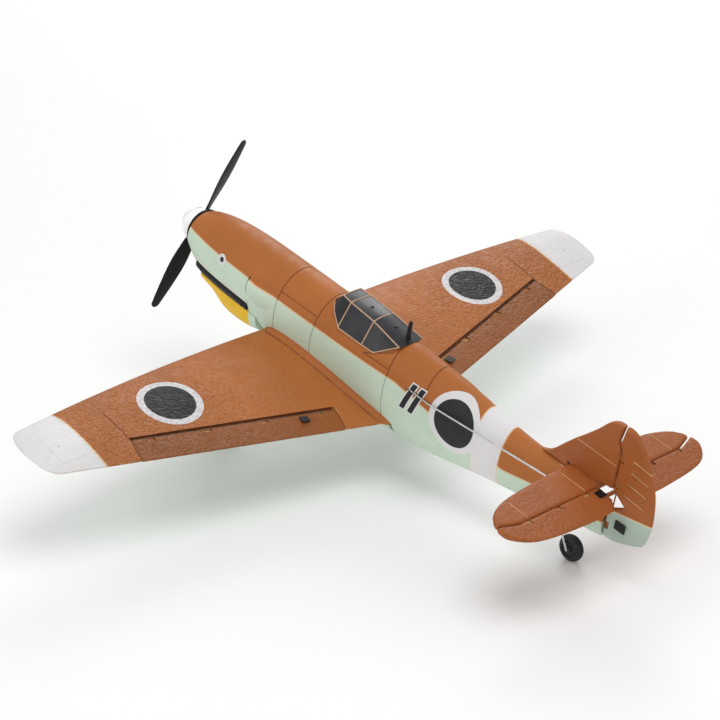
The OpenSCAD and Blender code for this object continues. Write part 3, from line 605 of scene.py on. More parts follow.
def plastic(name, colour, rough=0.38, specular=0.5):
    """Moulded plastic: fine grain, faint cloudiness and rub marks."""
    paint = Paint(name, colour)
    paint.shade(paint.noise(9, 3).ramp(0.3, 0.7, 0.88, 1.12))
    paint.raise_by(paint.noise(0.45, 2) * 0.02)
    rub = paint.noise(2.2, 4, (1, 6, 1)).ramp(0.45, 0.75)
    return paint.done(rub * 0.14 + rough, specular=specular)


def metal(name, colour, rough=0.28, lines=(1, 1, 1)):
    """Drawn or turned metal, with fine lines and a little tarnish."""
    paint = Paint(name, colour)
    paint.shade(paint.noise(2.5, 4).ramp(0.3, 0.7, 0.85, 1.05))
    drawn = paint.noise(0.35, 3, lines)
    paint.raise_by(drawn * 0.015)
    return paint.done(drawn.ramp(0.3, 0.7, rough - 0.06, rough + 0.12), metal=1.0)


def plywood():
    paint = Paint("plywood", (0.56, 0.38, 0.20))
    grain = paint.noise(1.2, 5, (7, 1, 7))
    paint.cover((0.32, 0.19, 0.08), grain.ramp(0.45, 0.7, 0.0, 0.6))
    paint.raise_by(grain * 0.06)
    return paint.done(0.7)


def battery_wrap():
    paint = Paint("battery_wrap", (0.05, 0.12, 0.35))
    paint.cover((0.02, 0.03, 0.06), abs(paint.y - 62).inside(1.6, 0.1))
    creases = paint.noise(4, 5, (1, 2.5, 1))
    # Painted shade and highlight: the colour follows the crease relief, darker in the hollows and lighter on the
    # ridges
    paint.shade(creases.ramp(0.3, 0.7, 0.85, 1.2))
    paint.raise_by(creases * 0.12)
    return paint.done(0.22, coat=0.4)


def circuit_board():
    paint = Paint("circuit_board", (0.02, 0.16, 0.07))
    tracks = (paint.x * 0.9).math("SINE") * (paint.y * 1.3).math("SINE")
    paint.cover((0.06, 0.30, 0.12), tracks.ramp(0.1, 0.25, 0.0, 0.8))
    paint.raise_by(tracks.ramp(0.1, 0.25) * 0.03)
    return paint.done(0.35, coat=0.3)


def rubber():
    paint = Paint("wheel_rubber", (0.020, 0.020, 0.021))
    paint.cover((0.10, 0.095, 0.09), paint.noise(3.5, 4).ramp(0.5, 0.75, 0.0, 0.25))
    paint.raise_by(paint.noise(0.4, 3) * 0.05)
    return paint.done(paint.noise(2, 3).ramp(0.3, 0.7, 0.6, 0.8), specular=0.35)


def canopy_gloss():
    """Black glazing with a cloudy sheen painted into its colour, and light scuffs."""
    paint = Paint("canopy_black", (0.014, 0.015, 0.018))
    # Painted sheen: the black lightened and darkened in soft clouds
    paint.shade(paint.noise(16, 2).ramp(0.3, 0.7, 0.6, 1.8))
    scuffs = paint.noise(1.6, 5, (1, 5, 1)).ramp(0.5, 0.75)
    paint.raise_by(paint.noise(6, 2) * 0.05)
    return paint.done(scuffs * 0.16 + 0.30, coat=0.12, specular=0.35)


def floor_material():
    paint = Paint("floor", (0.90, 0.90, 0.90))
    paint.shade(paint.noise(300, 2).ramp(0.3, 0.7, 0.985, 1.0))
    return paint.done(0.75, specular=0.2)


camera()
studio()

FOAM_BODY = fuselage_foam()
FOAM_TAIL, FOAM_RUDDER = tail_foam("foam_tail"), tail_foam("foam_rudder", under=True)
FOAM_GREEN, FOAM_YELLOW = plain_foam("foam_green", GREEN), chin_foam()
FOAM_RIM = plain_foam("foam_rim", (0.46, 0.29, 0.19), 0.1)
FOAM_LIP = plain_foam("foam_lip", (0.60, 0.58, 0.53), 0.1)
FOAM_SEAM = plain_foam("foam_seam", SEAM, 0.1)
BLACK = plastic("black_plastic", (0.006, 0.006, 0.007), 0.42, specular=0.28)
# Near-black standing for the intake's opening: painted shade on the bulge's front faces
OPENING_SHADE = plastic("opening_painted_shade", (0.004, 0.004, 0.004), 0.8)
WHITE = plastic("white_plastic", (0.88, 0.875, 0.87), 0.30)
GLAZING, RUBBER = canopy_gloss(), rubber()
BY_SLOT = { "foam_brown": FOAM_TAIL, "foam_green": FOAM_GREEN, "foam_yellow": FOAM_YELLOW,
           "canopy_black": GLAZING, "black_plastic": BLACK, "white_plastic": WHITE,
           "steel_wire": metal("steel_wire", (0.62, 0.62, 0.63), 0.28, (1, 9, 1)),
           "brass": metal("brass", (0.76, 0.55, 0.24)), "plywood": plywood(), "battery_wrap": battery_wrap(),
           "circuit_board": circuit_board(), "wheel_rubber": RUBBER}
for part in frame["record"]["subparts"]:
    data = NODES[part["node"]].data
    data.materials.clear()
    data.materials.append(BY_SLOT[part["material_slot"]])

# ---- Wing shapes ----

HALF_SPAN, TIP_START = 200, 191
INCIDENCE, CAMBER, THICKNESS = math.radians(1.6), 0.02, 0.105
HINGE_IN_X, HINGE_OUT_X, AILERON_CHORD = 33, 147, 13.5
TAB_AT, HORN_AT, SERVO_BACK = (10, 42, 75, 107), 20, 30
COVE_R, NOSE_R = 2.35, 1.85


def leading(x):
    return 91 + 0.0004 * x * x


def trailing(x):
    return 190.9 - 0.245 * x


def wing_height(x):
    return -20.9 + 0.05 * np.maximum(0, x - 20)


def mean_line(c):
    return np.where(c < 0.4, CAMBER / 0.16 * (0.8 * c - c * c), CAMBER / 0.36 * (0.2 + 0.8 * c - c * c))


def wing_point(x, c, surface):
    """Point of the wing at x and at share c of the chord: upper 1, lower -1 or middle 0."""
    x, c = np.asarray(x, float), np.asarray(c, float)
    k = np.sqrt(np.maximum(0, 1 - (np.maximum(0, x - TIP_START) / (HALF_SPAN + 0.05 - TIP_START)) ** 3))
    length = (trailing(x) - leading(x)) * k
    thick = 5 * THICKNESS * (0.2969 * np.sqrt(c) - 0.126 * c - 0.3516 * c**2 + 0.2843 * c**3 - 0.1036 * c**4)
    y = (leading(x) + trailing(x)) / 2 + (c - 0.5) * length
    z = (wing_height(x) + mean_line(c) * length + (0.5 - c) * length * math.sin(INCIDENCE)
         + surface * (thick * length + 0.45 * c * k))
    return np.stack(np.broadcast_arrays(x, y, z), -1)


HINGE_IN = wing_point(HINGE_IN_X, 0.85, 0) * (1, 0, 1) + (0, trailing(HINGE_IN_X) - AILERON_CHORD, 0)
HINGE_OUT = wing_point(HINGE_OUT_X, 0.75, 0) * (1, 0, 1) + (0, trailing(HINGE_OUT_X) - AILERON_CHORD, 0)
HINGE_LENGTH = float(np.linalg.norm(HINGE_OUT - HINGE_IN))
HINGE_YAW = math.atan2(HINGE_OUT[1] - HINGE_IN[1], HINGE_OUT[0] - HINGE_IN[0])
HINGE_RISE = math.asin((HINGE_OUT[2] - HINGE_IN[2]) / HINGE_LENGTH)
FOAM_WING = wing_foam("foam_wing", BROWN)
# The ailerons' brown is the wing's brown darkened to two thirds: painted shade on the drooping ailerons
FOAM_AILERON_SHADED = wing_foam("foam_aileron_shaded", tuple(c * 0.66 for c in BROWN))


def rotated(a, b, angle):
    c, s = math.cos(angle), math.sin(angle)
    return a * c - b * s, a * s + b * c


def at_hinge(part):
    """From the aileron's own frame, X along its hinge line, to the left wing."""
    x, y, z = np.asarray(part[0], float).T
    x, z = rotated(x, z, HINGE_RISE)
    x, y = rotated(x, y, HINGE_YAW)
    return np.column_stack([x, y, z]) + HINGE_IN, part[1]


def slab(low, high):
    """Box between two corners, for cutting."""
    (x0, y0, z0), (x1, y1, z1) = low, high
    return extrude([(y0, z0), (y1, z0), (y1, z1), (y0, z1)], "x", x0, x1)


def turned_upright(profile, x, y, around=24):
    """Solid of revolution about an upright axis. The profile goes upward, as (radius, z)."""
    return loft([[(x + r * math.cos(a), y + r * math.sin(a), z) for a in turn(around)] for r, z in profile])


def round_bore(x, y, low, high, radius=1.25):
    """Upright cylinder for cutting."""
    return turned_upright([(radius, low), (radius, high)], x, y)


def arc(centre, radius, start, end, count):
    angles = np.radians(np.linspace(start, end, count))
    return [(centre[0] + radius * math.cos(a), centre[1] + radius * math.sin(a)) for a in angles]


def wing(side):
    stations = with_lines(0, TIP_START, 2.2, (HINGE_OUT_X,), 0.35)
    tip = HALF_SPAN - (HALF_SPAN - TIP_START) * np.linspace(1, 0, 22) ** 2
    shares = (1 - np.cos(np.linspace(0, math.pi, 46))) / 2
    rings = []
    for x in [*stations, *tip[1:]]:
        upper, lower = wing_point(x, shares, 1), wing_point(x, shares[::-1][:-1], -1)
        groove = (abs(x - HINGE_OUT_X) < 0.1) * ((shares > 0.3) & (shares < 0.98)) * 0.3
        upper[:, 2] -= groove
        rings.append(np.concatenate([upper, lower]))
    cove = [*arc((0, 0), COVE_R, 90, 270, 25), (0, -8), (30, -8), (30, 8), (0, 8)]
    tools = [at_hinge(extrude(cove, "x", -0.5, HINGE_LENGTH + 0.5)),
             at_hinge(slab((HORN_AT + 1.1, -SERVO_BACK - 10.2, -10),
                           (HORN_AT + 11.7, -SERVO_BACK + 4.2, 4.6))),
             at_hinge(slab((HORN_AT - 2.6, -SERVO_BACK - 5, -10), (HORN_AT + 1.3, -SERVO_BACK + 5, 3.3)))]
    tools += [at_hinge(slab((s - 2.1, -6.1, -0.55), (s + 2.1, -2.2, 0.55))) for s in TAB_AT]
    tools.append(at_hinge(slab((-0.5, -2.7, 1.1), (HINGE_LENGTH + 0.5, 0.5, 6))))
    tools.append(slab((27 - 4.62, 104 - 7.62, -40), (27 + 4.62, 104 + 7.62, -22.28)))
    name = hand(side)
    up = facing(0, 0, 1)
    piece(f"wing_panel_{name}", sided(loft(rings), side), "airframe", [FOAM_WING, FOAM_GREEN],
          [f"wing_{name}"], cutter=sided(join(*tools), side), pick=lambda f: int(f.normal.dot(up) < -0.12))


def aileron(side):
    edge, droop = 0.45, 1.16
    profile = [*arc((0, 0), NOSE_R, 90, 270, 22), (AILERON_CHORD - 0.4, -edge - droop + 0.03),
               *arc((AILERON_CHORD - edge, -droop), edge, -80, 80, 7),
               (AILERON_CHORD - 0.8, edge - droop + 0.06)]
    stations = np.linspace(0, HINGE_LENGTH, 60)
    ends = {0: 0.93, len(stations) - 1: 0.93}
    rings = [[(x, y * ends.get(i, 1) + (1 - ends.get(i, 1)) * 6, z * ends.get(i, 1)) for y, z in profile]
             for i, x in enumerate(stations)]
    rings.insert(1, [(stations[0] + 0.25, y, z) for y, z in profile])
    rings.insert(-1, [(stations[-1] - 0.25, y, z) for y, z in profile])
    pockets = [slab((s - 2.2, -3, -3), (s + 2.2, 1.3, 3)) for s in TAB_AT]
    name = hand(side)
    up = facing(0, 0, 1)
    piece(f"aileron_panel_{name}", sided(at_hinge(loft(rings)), side), f"{name}_aileron",
          [FOAM_AILERON_SHADED, FOAM_GREEN], [f"aileron_{name}"], cutter=sided(at_hinge(join(*pockets)), side),
          pick=lambda f: int(f.normal.dot(up) < -0.35))


def root_fillet(side):
    """Rounded fairing between the fuselage's side and the wing's upper surface."""
    rings, edge = [], []
    for t in np.linspace(0, 1, 70):
        y = 90.5 + 100 * t
        share = np.clip((y - leading(20)) / (trailing(20) - leading(20)), 0.001, 1)
        top = float(wing_point(20, share, 1)[2])
        grow = min(1, t / 0.08, (1 - t) / 0.05 + 0.25)
        high, wide = 3.4 * grow, 4.2 * grow
        a = np.array([flank(y, top + high) - 0.35, top + high])
        b = np.array([flank(y, top) + wide, top - 0.25])
        c = np.array([flank(y, top) + 0.5, top + 0.6])
        bend = [(1 - u) ** 2 * a + 2 * u * (1 - u) * c + u * u * b for u in np.linspace(0, 1, 9)]
        ring = [*bend, np.array([b[0] - 0.6, top - 0.9]), np.array([flank(y, top) - 1.5, top - 0.9])]
        edge.append((b[0] + 0.1, y, top - 0.05))
        rings.append([(x, y, z) for x, z in ring])
    name = hand(side)
    piece(f"wing_root_fillet_{name}", sided(loft(rings), side), "airframe", [FOAM_WING])
    piece(f"wing_root_seam_{name}", sided(sweep(edge[4:-4], 0.32, 8), side), "airframe",
          [FOAM_SEAM])


# ---- Fuselage ----


def fuselage_half(side):
    stations = with_lines(BODY_ROWS[0, 0], BODY_ROWS[-1, 0], 1.7, [s[0] for s in RING_SEAMS], SEAM_HALF)
    angles = with_lines(-90, 90, 2.4, [s[0] for s in LONG_SEAMS], 1.4)
    rings = []
    for y in stations:
        press = np.zeros(len(angles))
        for aft, low, high in RING_SEAMS:
            if abs(y - aft) < 0.1:
                press = np.where((angles >= low) & (angles <= high), SEAM_DEEP, press)
        for angle, start, end in LONG_SEAMS:
            if start <= y <= end:
                press = np.where(abs(angles - angle) < 0.1, SEAM_DEEP, press)
        wall = min(WALL, float(smooth_rows(BODY_ROWS, y)[0][1]) / 2)
        outer = np.array([skin(y, a, p)[0] for a, p in zip(angles, press)])
        inner = np.array([skin(y, a, wall)[0] for a in angles[::-1]])
        rings.append(np.concatenate([outer, inner]))
    shares = (1 - np.cos(np.linspace(0, math.pi, 30))) / 2
    saddle = [(p[1], p[2] + 0.3) for p in wing_point(0, shares, 1)]
    saddle += [(191.2, -21.5), (191.2, -60), (90.6, -60), (90.6, -19.5)]
    # The control rod's exit and the magnet's bore are cut in the left shell only
    tools = [extrude(CANOPY_LINE, "x", -30, 30), slab((-40, HATCH_FROM, -60), (40, HATCH_TO, PARTING_Z)),
             extrude(saddle, "x", -40, 40), slab((-10, 323.5, 15.8), (10, 333.5, 25.8)),
             sweep([(11.3, 170, 5.8), (13.3, 223, 6.8)], 1.0, 20),
             round_bore(13.9, 79, PARTING_Z - 1, PARTING_Z + 1)]
    name = hand(side)
    piece(f"fuselage_shell_{name}", sided(loft(rings), side), "airframe", [FOAM_BODY],
          [f"fuselage_{name}"], cutter=join(*tools), crease=32)


def belly():
    stations, angles = np.linspace(90.9, 188.9, 60), np.linspace(-178, -2, 70)
    rings = [np.concatenate([[skin(y, a)[0] for a in angles], [skin(y, a, WALL)[0] for a in angles[::-1]]])
             for y in stations]
    shares = (1 - np.cos(np.linspace(0, math.pi, 30))) / 2
    outline = [(p[1], p[2] - 0.3) for p in wing_point(0, shares[:-1], -1)]
    outline += [(188.9, -23), (188.9, -60), (90.9, -60)]
    piece("belly_shell", loft(rings), "airframe", [FOAM_GREEN], ["belly_pan"],
          keep=extrude(outline, "x", -40, 40))


# The chin under the nose deepens into an oil cooler: distance aft, half width at the parting line, bottom
CHIN_ROWS = ((34, 13.2, -23), (44, 14, -25.6), (54, 14.8, -31.2), (64, 15.1, -32.3), (75, 15.2, -31),
             (84, 15.2, -28.4))


def chin():
    base = PARTING_Z + 2
    angles = np.linspace(0, -math.pi, 49)

    def half_ring(row, inset):
        across = (row[1] + 1 - inset) * np.sign(np.cos(angles)) * np.abs(np.cos(angles)) ** 0.75
        deep = base - (base - row[2] - inset) * np.abs(np.sin(angles)) ** 0.8
        return np.column_stack([across, np.full(len(angles), row[0]), deep])

    rings = [np.concatenate([half_ring(row, 0), half_ring(row, 2.6)[::-1]])
             for row in smooth_rows(CHIN_ROWS, np.linspace(HATCH_FROM + 0.12, HATCH_TO - 0.12, 50))]
    tools = [slab((-40, 0, PARTING_Z - 0.12), (40, 120, 10)), slab((-7.5, 40, -28.4), (7.5, 57, -25.2)),
             *(round_bore(x, 79, PARTING_Z - 1, PARTING_Z + 1) for x in (-13.9, 13.9))]
    piece("chin_cover", loft(rings), "hatch", [FOAM_YELLOW], ["battery_hatch"],
          cutter=join(*tools))


def exhausts(side):
    """Long black strip with six stub pipes, under a pale lip."""
    rings = []
    for t in np.linspace(0, 1, 60):
        y = 28.1 + 49.8 * t
        middle = -12.2
        taper = math.sqrt(max(0.02, 1 - max(0, (t - 0.965) / 0.04) ** 2 - max(0, (0.035 - t) / 0.04) ** 2))
        wall = flank(y, middle)
        rings.append([(wall - 1.2 + 2.8 * taper * math.cos(a), y, middle + 2.9 * taper * math.sin(a))
                      for a in np.linspace(-math.pi, math.pi, 24, endpoint=False)])
    parts = [loft(rings)]
    for i in range(6):
        y, out = 33.1 + i * 7.6, 13.9 + i * 0.52
        steps = np.linspace(0, 1, 6)
        parts.append(sweep([(out + 1.1 * s, y + 3.2 * s, -12.2 - 0.2 * s) for s in steps], 1.3, 14))
    name = hand(side)
    piece(f"exhaust_bank_{name}", sided(join(*parts), side), "airframe", [BLACK],
          [f"exhaust_{name}"])
    lip = []
    for t in np.linspace(0, 1, 50):
        y, z = 27 + 51 * t, -8.8
        lip.append((flank(y, z) - 0.1, y, z))
    piece(f"exhaust_lip_{name}", sided(sweep(lip, 0.6, 10), side), "airframe", [FOAM_LIP])


# Left-hand bulge: share of its length, angles of its lower and upper edges round the section, rise
BULGE_ROWS = ((0, 2, 24, 1.5), (0.25, -4, 26, 2.3), (0.5, -6, 26, 2.0), (0.8, 0, 24, 0.8), (1, 10, 20, 0.03))
BULGE_FROM, BULGE_LENGTH = 76.2, 22


def intake():
    """Smooth bulge on the left side, its front faces near-black as painted shade for its opening; a painted shadow
    lies on the fuselage just ahead of it.
    """
    rings = []
    for t in np.linspace(0, 1, 44):
        y = BULGE_FROM + BULGE_LENGTH * t
        _, low, high, rise = smooth_rows(BULGE_ROWS, t)[0]
        angles = np.linspace(low, high, 26)
        bump = np.cos(np.linspace(-math.pi / 2, math.pi / 2, 26)) ** 0.7 * max(rise, 0.03)
        outer = np.array([skin(y, a, -b)[0] for a, b in zip(angles, bump)])
        inner = np.array([skin(y, a, 0.7)[0] for a in angles[::-1]])
        rings.append(np.concatenate([outer, inner]))
    ahead = facing(0, -1, 0)
    piece("intake_bulge", loft(rings), "airframe", [FOAM_BODY, OPENING_SHADE], ["supercharger_intake"],
          pick=lambda f: int(f.normal.dot(ahead) > 0.95), crease=50)


# ---- Canopy ----

# Distance aft, half width of the roof, height of its edge, half width at the sill, rise of its crown
CANOPY_ROWS = ((131.9, 5.5, 21.6, 14, 0.2), (137, 6.2, 26.7, 14.4, 0.2), (144, 6.9, 26.2, 14.7, 0.3),
               (162.4, 7.3, 25.2, 14.5, 1), (184, 8.3, 21.8, 12.9, 1.7), (192, 8.6, 20.5, 12.2, 1.8))
SILL_Z, FOOT_Z = 12.4, 11.5
CANOPY_WALL = 1.2


def canopy_row(y):
    rows = np.array(CANOPY_ROWS)
    return [float(np.interp(y, rows[:, 0], rows[:, k])) for k in range(5)]


def canopy_side(y, z):
    """Point of the canopy's left side at that height."""
    _, roof, edge, foot, _ = canopy_row(y)
    return (foot + (roof - foot) * (z - FOOT_Z) / (edge - FOOT_Z), y, z)


def canopy_roof(y, share):
    """Point of the roof, share -1 at the right edge and 1 at the left."""
    _, roof, edge, _, crown = canopy_row(y)
    return (roof * share, y, edge + crown * (1 - share * share))


def canopy():
    rings = []
    for y in with_lines(CANOPY_ROWS[0][0], CANOPY_ROWS[-1][0], 2.5, (), 0.3):
        _, roof, edge, foot, crown = canopy_row(y)
        left = [(foot + (roof - foot) * t, y, FOOT_Z + (edge - FOOT_Z) * t) for t in np.linspace(0, 1, 9)]
        top = [canopy_roof(y, s) for s in np.linspace(1, -1, 17)][1:-1]
        right = [(-x, y_, z) for x, y_, z in left[::-1]]
        outer = np.array([*left, *top, *right])
        inner = outer * ((roof - 0.7) / roof, 1, 1) - (0, 0, CANOPY_WALL)
        inner[:, 2] = np.maximum(inner[:, 2], FOOT_Z)
        rings.append([*outer, *inner[::-1]])
    line = [(y, z + 0.12) for y, z in CANOPY_LINE]
    piece("canopy_glazing", loft(rings), "airframe", [GLAZING], ["canopy"],
          keep=extrude(line, "x", -30, 30), crease=24)
    strips = []

    def frame_bar(points):
        strips.append(sweep(points, 0.38, 8))

    def both(points):
        frame_bar(points)
        frame_bar([(-x, y, z) for x, y, z in points])

    rear_y = 184
    for y in (143.9, 162.4):
        side_points = [canopy_side(y, z) for z in np.linspace(SILL_Z + 0.3, canopy_row(y)[2], 8)]
        roof_points = [canopy_roof(y, s) for s in np.linspace(1, -1, 13)]
        frame_bar([*side_points, *roof_points[1:], *[(-a, b, c) for a, b, c in side_points[::-1][1:]]])
    both([canopy_roof(y, 1) for y in np.linspace(137, rear_y, 24)])
    both([canopy_side(y, SILL_Z + 0.25) for y in np.linspace(144.5, 171, 14)])
    slope = (26 - SILL_Z) / (190 - 171)
    both([canopy_side(y, SILL_Z + 0.25 + (y - 171) * slope) for y in np.linspace(171, rear_y - 0.4, 9)])
    fall = (21.3 - SILL_Z) / 13.5
    both([canopy_side(y, 21.3 - (y - 131) * fall + 0.2) for y in np.linspace(133, 144.5, 8)])
    frame_bar([canopy_roof(137, s) for s in np.linspace(1, -1, 9)])
    for s in (1, -1):
        frame_bar([canopy_roof(y, s) for y in np.linspace(132.6, 137, 5)])
    piece("canopy_frames", join(*strips), "airframe", [FOAM_RIM])
    studs = [moved(turned_upright([(0.9, -0.6), (0.9, 0.25), (0.6, 0.4)], 0, 0, 20), canopy_roof(y, 0))
             for y in (153, 172)]
    piece("canopy_studs", join(*studs), "airframe", [BLACK])
    mast = [(1.8, 21.4), (1.8, 22.3), (1.5, 23.4), (1.25, 24.8), (1.1, 33.1), (0.8, 33.9), (0.35, 34.2)]
    piece("antenna_mast_moulding", turned_upright(mast, 0, 181.5), "airframe", [BLACK],
          ["antenna_mast"])


# ---- Tail ----

TAIL_Z, HALF_THICK, ELEVATOR_Y, RUDDER_Y = 20, 1.8, 325, 332.3
STAB_HALF = ((0, 302), (20, 302.4), (30.5, 303.1), (50, 304.8), (59, 307.6), (65, 311), (68.2, 315.2),
             (69.3, 318.6), (58.4, 322.6), (57.2, 323), (0, 323))
ELEVATOR_HALF = ((4.6, 323.2), (57.6, 323.2), (58.8, 323.5), (69.9, 319.4), (71, 323), (68.2, 330), (61, 336),
                 (51, 338.4), (41.4, 339.4), (21.6, 340.8), (9, 340), (5.6, 336.5), (4.6, 332))
FIN = ((282, 17.95), (286, 19), (290, 22.4), (295, 28.8), (300.3, 35.1), (307, 42.3), (313.5, 49.7),
       (317.4, 55), (320.4, 58.5), (324, 60.2), (328.9, 60.7), (327.2, 50.1), (330.2, 46.2), (330.2, 24),
       (323.4, 24), (323.4, 22.05), (301, 22.05), (301, 17.95))
RUDDER = ((330.7, 46.8), (331.5, 46.9), (328.4, 50.4), (330, 60.9), (336, 60), (341.8, 55.9), (348.6, 48.3),
          (353.5, 38.2), (355.5, 33.4), (357.1, 25), (357.8, 17.4), (357, 10), (354.9, 3.5), (346, -1.2),
          (337, -4), (330.7, -4.4), (330.7, 12), (339.9, 17.9), (330.7, 24))


def reach(outline, at):
    """Least and greatest first coordinate of an outline where its second coordinate is at."""
    hits = []
    for (a, s), (b, t) in zip(outline, outline[1:] + outline[:1]):
        if s != t and min(s, t) <= at <= max(s, t):
            hits.append(a + (b - a) * (at - s) / (t - s))
    return min(hits), max(hits)


def eased(outline, passes=2, gentle=40):
    """Outline with its gentle bends rounded and its sharp corners kept."""
    points = [np.array(p, float) for p in outline]
    for _ in range(passes):
        eased_points = []
        for before, here, after in zip([points[-1], *points], points, [*points[1:], points[0]]):
            a, b = here - before, after - here
            turn = math.degrees(abs(math.atan2(a[0] * b[1] - a[1] * b[0], float(a @ b))))
            eased_points += [here - a * 0.25, here + b * 0.25] if 3 < turn < gentle else [here]
        points = eased_points
    return [tuple(p) for p in points]


def round_edge(inward, edge):
    """Share of the full thickness at a distance in from a rounded edge."""
    return math.sqrt(max(0.0, 1 - max(0.0, 1 - inward / edge) ** 2))


def sheet(outline, edge, thin_from=None, thin_over=1.0, breaks=()):
    """Foam sheet with rounded edges: first coordinate aft, second along the sheet, thickness across it.

    It thins to half a millimetre a side over a length aft of thin_from. breaks are the places along it where
    the outline steps.
    """
    outline = tuple((float(a), float(b)) for a, b in eased(outline))
    low, high = min(b for _, b in outline), max(b for _, b in outline)
    near = np.array([0, 0.03, 0.12, 0.3, 0.6, 1]) * edge
    places = {*(low + near), *(high - near), *np.linspace(low + edge, high - edge, 46)}
    for step in breaks:
        places |= {step - 0.02, step + 0.02}
    rings = []
    for at in sorted(places):
        front, rear = reach(outline, min(max(at, low + 1e-4), high - 1e-4))
        length = max(rear - front, 0.02)
        ease = np.minimum(near, length * 0.45)
        between = np.linspace(front + ease[-1], rear - ease[-1], 9)[1:-1]
        aft = np.concatenate([front + ease, between, rear - ease[::-1]])
        upper, lower = [], []
        for y in aft:
            half = HALF_THICK * min(round_edge(y - front, edge), round_edge(rear - y, edge))
            half *= max(0.04, min(round_edge(at - low, edge), round_edge(high - at, edge)))
            if thin_from is not None:
                half *= 1 + (0.5 / HALF_THICK - 1) * min(1, max(0, (y - thin_from) / thin_over))
            upper.append((y, at, max(half, 0.01)))
            lower.append((y, at, -max(half, 0.01)))
        rings.append(upper + lower[::-1])
    return loft(rings)


def lying(part):
    """Lays a sheet drawn aft and outboard at the height of the tail."""
    y, x, z = np.asarray(part[0]).T
    return np.column_stack([x, y, z + TAIL_Z]), part[1]


def upright(part):
    """Stands a sheet drawn aft and up in the plane of symmetry."""
    y, z, x = np.asarray(part[0]).T
    return np.column_stack([x, y, z]), part[1]


def swapped(outline):
    return [(b, a) for a, b in outline]


def ridge(a, b, radius=0.3):
    """Fine moulded line between two points."""
    return sweep([np.array(a) + (np.array(b) - a) * t for t in np.linspace(0, 1, 6)], radius, 6)


def tail():
    stab = STAB_HALF + tuple((-x, y) for x, y in STAB_HALF[-2:0:-1])
    top = TAIL_Z + HALF_THICK - 0.05
    lines = [ridge((s * x, y, top), (s * x, 322.2, top)) for s in (1, -1) for x, y in STAB_LINES]
    piece("stabilizer_sheet", join(lying(sheet(swapped(stab), 1.5)), *lines), "airframe",
          [FOAM_TAIL], ["stabilizer"], crease=50)
    fin_lines = [ridge((s * 1.75, 304, 37.5), (s * 1.75, 329.2, 37.5)) for s in (1, -1)]
    piece("fin_sheet", join(upright(sheet(FIN, 1.2, breaks=(22.05, 24))), *fin_lines), "airframe",
          [FOAM_TAIL], ["fin"], crease=50)
    half = lying(sheet(swapped(ELEVATOR_HALF), 1.5, ELEVATOR_Y, 15.5))
    joiner = sweep([(x, ELEVATOR_Y + 4.4, TAIL_Z) for x in np.linspace(-5.5, 5.5, 5)], 1.15, 20)
    pockets = [slab((s * at - 2.2, ELEVATOR_Y - 3, TAIL_Z - 3), (s * at + 2.2, ELEVATOR_Y + 1.3, TAIL_Z + 3))
               for s in (1, -1) for at in (14, 34, 54)]
    piece("elevator_sheet", join(half, mirrored(half), joiner), "elevator_group", [FOAM_TAIL],
          ["elevator"], cutter=join(*pockets), crease=50)
    slots = [slab((-3, RUDDER_Y - 3, z - 2.2), (3, RUDDER_Y + 1.3, z + 2.2)) for z in (3, 28, 43)]
    ribs = [ridge((s * 1.44, 339, z), (s * 0.86, 350.5, z - 1.15)) for s in (1, -1) for z in RIBS]
    piece("rudder_sheet", join(upright(sheet(RUDDER, 1.4, RUDDER_Y, 26, breaks=(46.85,))), *ribs),
          "rudder_group", [FOAM_RUDDER], ["rudder"], cutter=join(*slots), crease=50)


# ---- Propeller and spinner ----

# Distance out, chord, pitch angle
BLADE_ROWS = ((4, 5.4, 36), (12, 7, 29), (24, 9.6, 20), (34, 9.3, 15), (46, 7, 12), (54.4, 4.8, 10))
PROP_REST = math.radians(29.5)
SPINNER_R, SPINNER_LENGTH = 10.7, 15.4


def turned(part, angle):
    """Turns a part about the propeller's axis, its top going towards the right wing."""
    x, y, z = np.asarray(part[0]).T
    x, z = rotated(x, z, angle)
    return np.column_stack([x, y, z]), part[1]


def propeller():
    rings = []
    for out in np.linspace(4, 54.4, 46):
        _, width, pitch = smooth_rows(BLADE_ROWS, out)[0]
        tip = math.sqrt(max(0.0, 1 - max(0, (out - 52.4) / 2.05) ** 2))
        half, thick = width / 2 * max(0.12, tip), (1.7 - out * 0.019) * max(0.25, tip)
        twist = math.radians(pitch)
        ring = []
        for a in turn(28):
            u, v = half * math.cos(a), thick / 2 * math.sin(a) + thick * 0.35 * math.sin(a / 2) ** 2
            ring.append((u * math.cos(twist) - v * math.sin(twist),
                         BLADE_Y + u * math.sin(twist) + v * math.cos(twist), out))
        rings.append(ring)
    blade = loft(rings)
    hub = revolve([(0.76, 9.1), (4.3, 9.1), (4.6, 9.4), (4.6, 15.1), (4.3, 15.35), (0.76, 15.35)], 40)
    both = join(turned(blade, PROP_REST), turned(blade, PROP_REST + math.pi))
    return both, hub


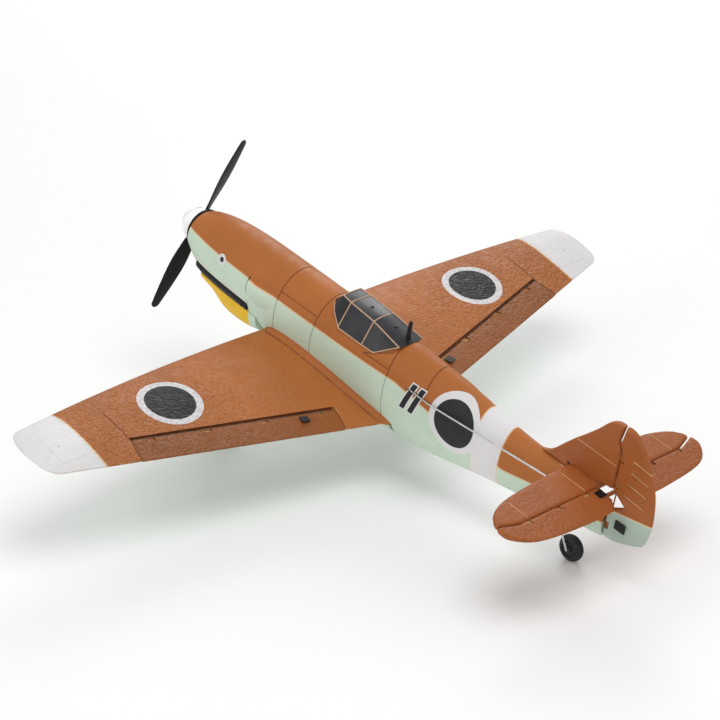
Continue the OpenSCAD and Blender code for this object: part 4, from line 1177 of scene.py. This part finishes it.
def nose():
    blades, hub = propeller()
    piece("propeller_moulding", join(blades, hub), "propeller_group", [BLACK], ["propeller"],
          crease=40)
    outside = [(SPINNER_R * math.sin(t) ** 0.82, SPINNER_LENGTH * t / (math.pi / 2))
               for t in np.linspace(0, math.pi / 2, 40)]
    outside[0] = (0.05, 0.02)
    inside = [(r - 1, y + 1) for r, y in outside if r > 1.4 and y < SPINNER_LENGTH - 1][::-1]
    profile = [*outside, (SPINNER_R - 1, SPINNER_LENGTH), *inside, (0.05, 1.4)]
    slot = slab((-4.2, BLADE_Y - 4, -20), (4.2, BLADE_Y + 8, 20))
    piece("spinner_cone", revolve(profile), "propeller_group", [WHITE], ["spinner"],
          cutter=turned(slot, PROP_REST), crease=36)
    rim = [(0.76, 15.5), (10.9, 15.5), (11.2, 15.7), (11.3, 16.2), (11.2, 16.9), (10.9, 17.1), (0.76, 17.1)]
    piece("backplate_disc", revolve(rim), "propeller_group", [BLACK], ["spinner_backplate"])


# ---- Wheels ----


def wheel(name, joint, diameter, width, bore, node, body):
    """Foam-rubber tyre with a grooved tread, on a dished hub."""
    r, w = diameter / 2, width / 2
    half = [(bore, w * 0.98), (0.10 * diameter, w * 0.98), (0.115 * diameter, w * 0.62),
            (0.18 * diameter, w * 0.64), (0.26 * diameter, w * 0.80), (0.275 * diameter, w * 0.62),
            (0.30 * diameter, w * 0.62), (0.315 * diameter, w * 0.95), (0.36 * diameter, w),
            (0.41 * diameter, w * 0.96), (0.455 * diameter, w * 0.78), (0.485 * diameter, w * 0.48),
            (0.49 * diameter, w * 0.30), (r - 0.35, w * 0.26), (r - 0.35, w * 0.14), (r, w * 0.10)]
    profile = [*half, *[(a, -b) for a, b in half[::-1]]]
    centre = level(JOINTS[joint]["pos_m"])
    points = [(centre[0] + x, centre[1] + a * math.cos(t), centre[2] + a * math.sin(t)) for a, x in profile
              for t in turn(72)]
    rings = len(profile)
    faces = [(i * 72 + j, i * 72 + (j + 1) % 72,
              (i + 1) % rings * 72 + (j + 1) % 72, (i + 1) % rings * 72 + j)
             for i in range(rings) for j in range(72)]
    piece(f"{name}_tyre", (points, faces), body, [RUBBER], [node], crease=30)


for side in (1, -1):
    fuselage_half(side)
    wing(side)
    aileron(side)
    root_fillet(side)
    exhausts(side)
belly()
chin()
intake()
canopy()
tail()
nose()
wheel("left_wheel", "left_wheel_spin", 26, 7, 0.85, "wheel_left", "left_wheel")
wheel("right_wheel", "right_wheel_spin", 26, 7, 0.85, "wheel_right", "right_wheel")
wheel("tail_wheel", "tail_wheel_spin", 14.5, 5, 0.65, "tail_wheel", "tail_wheel")
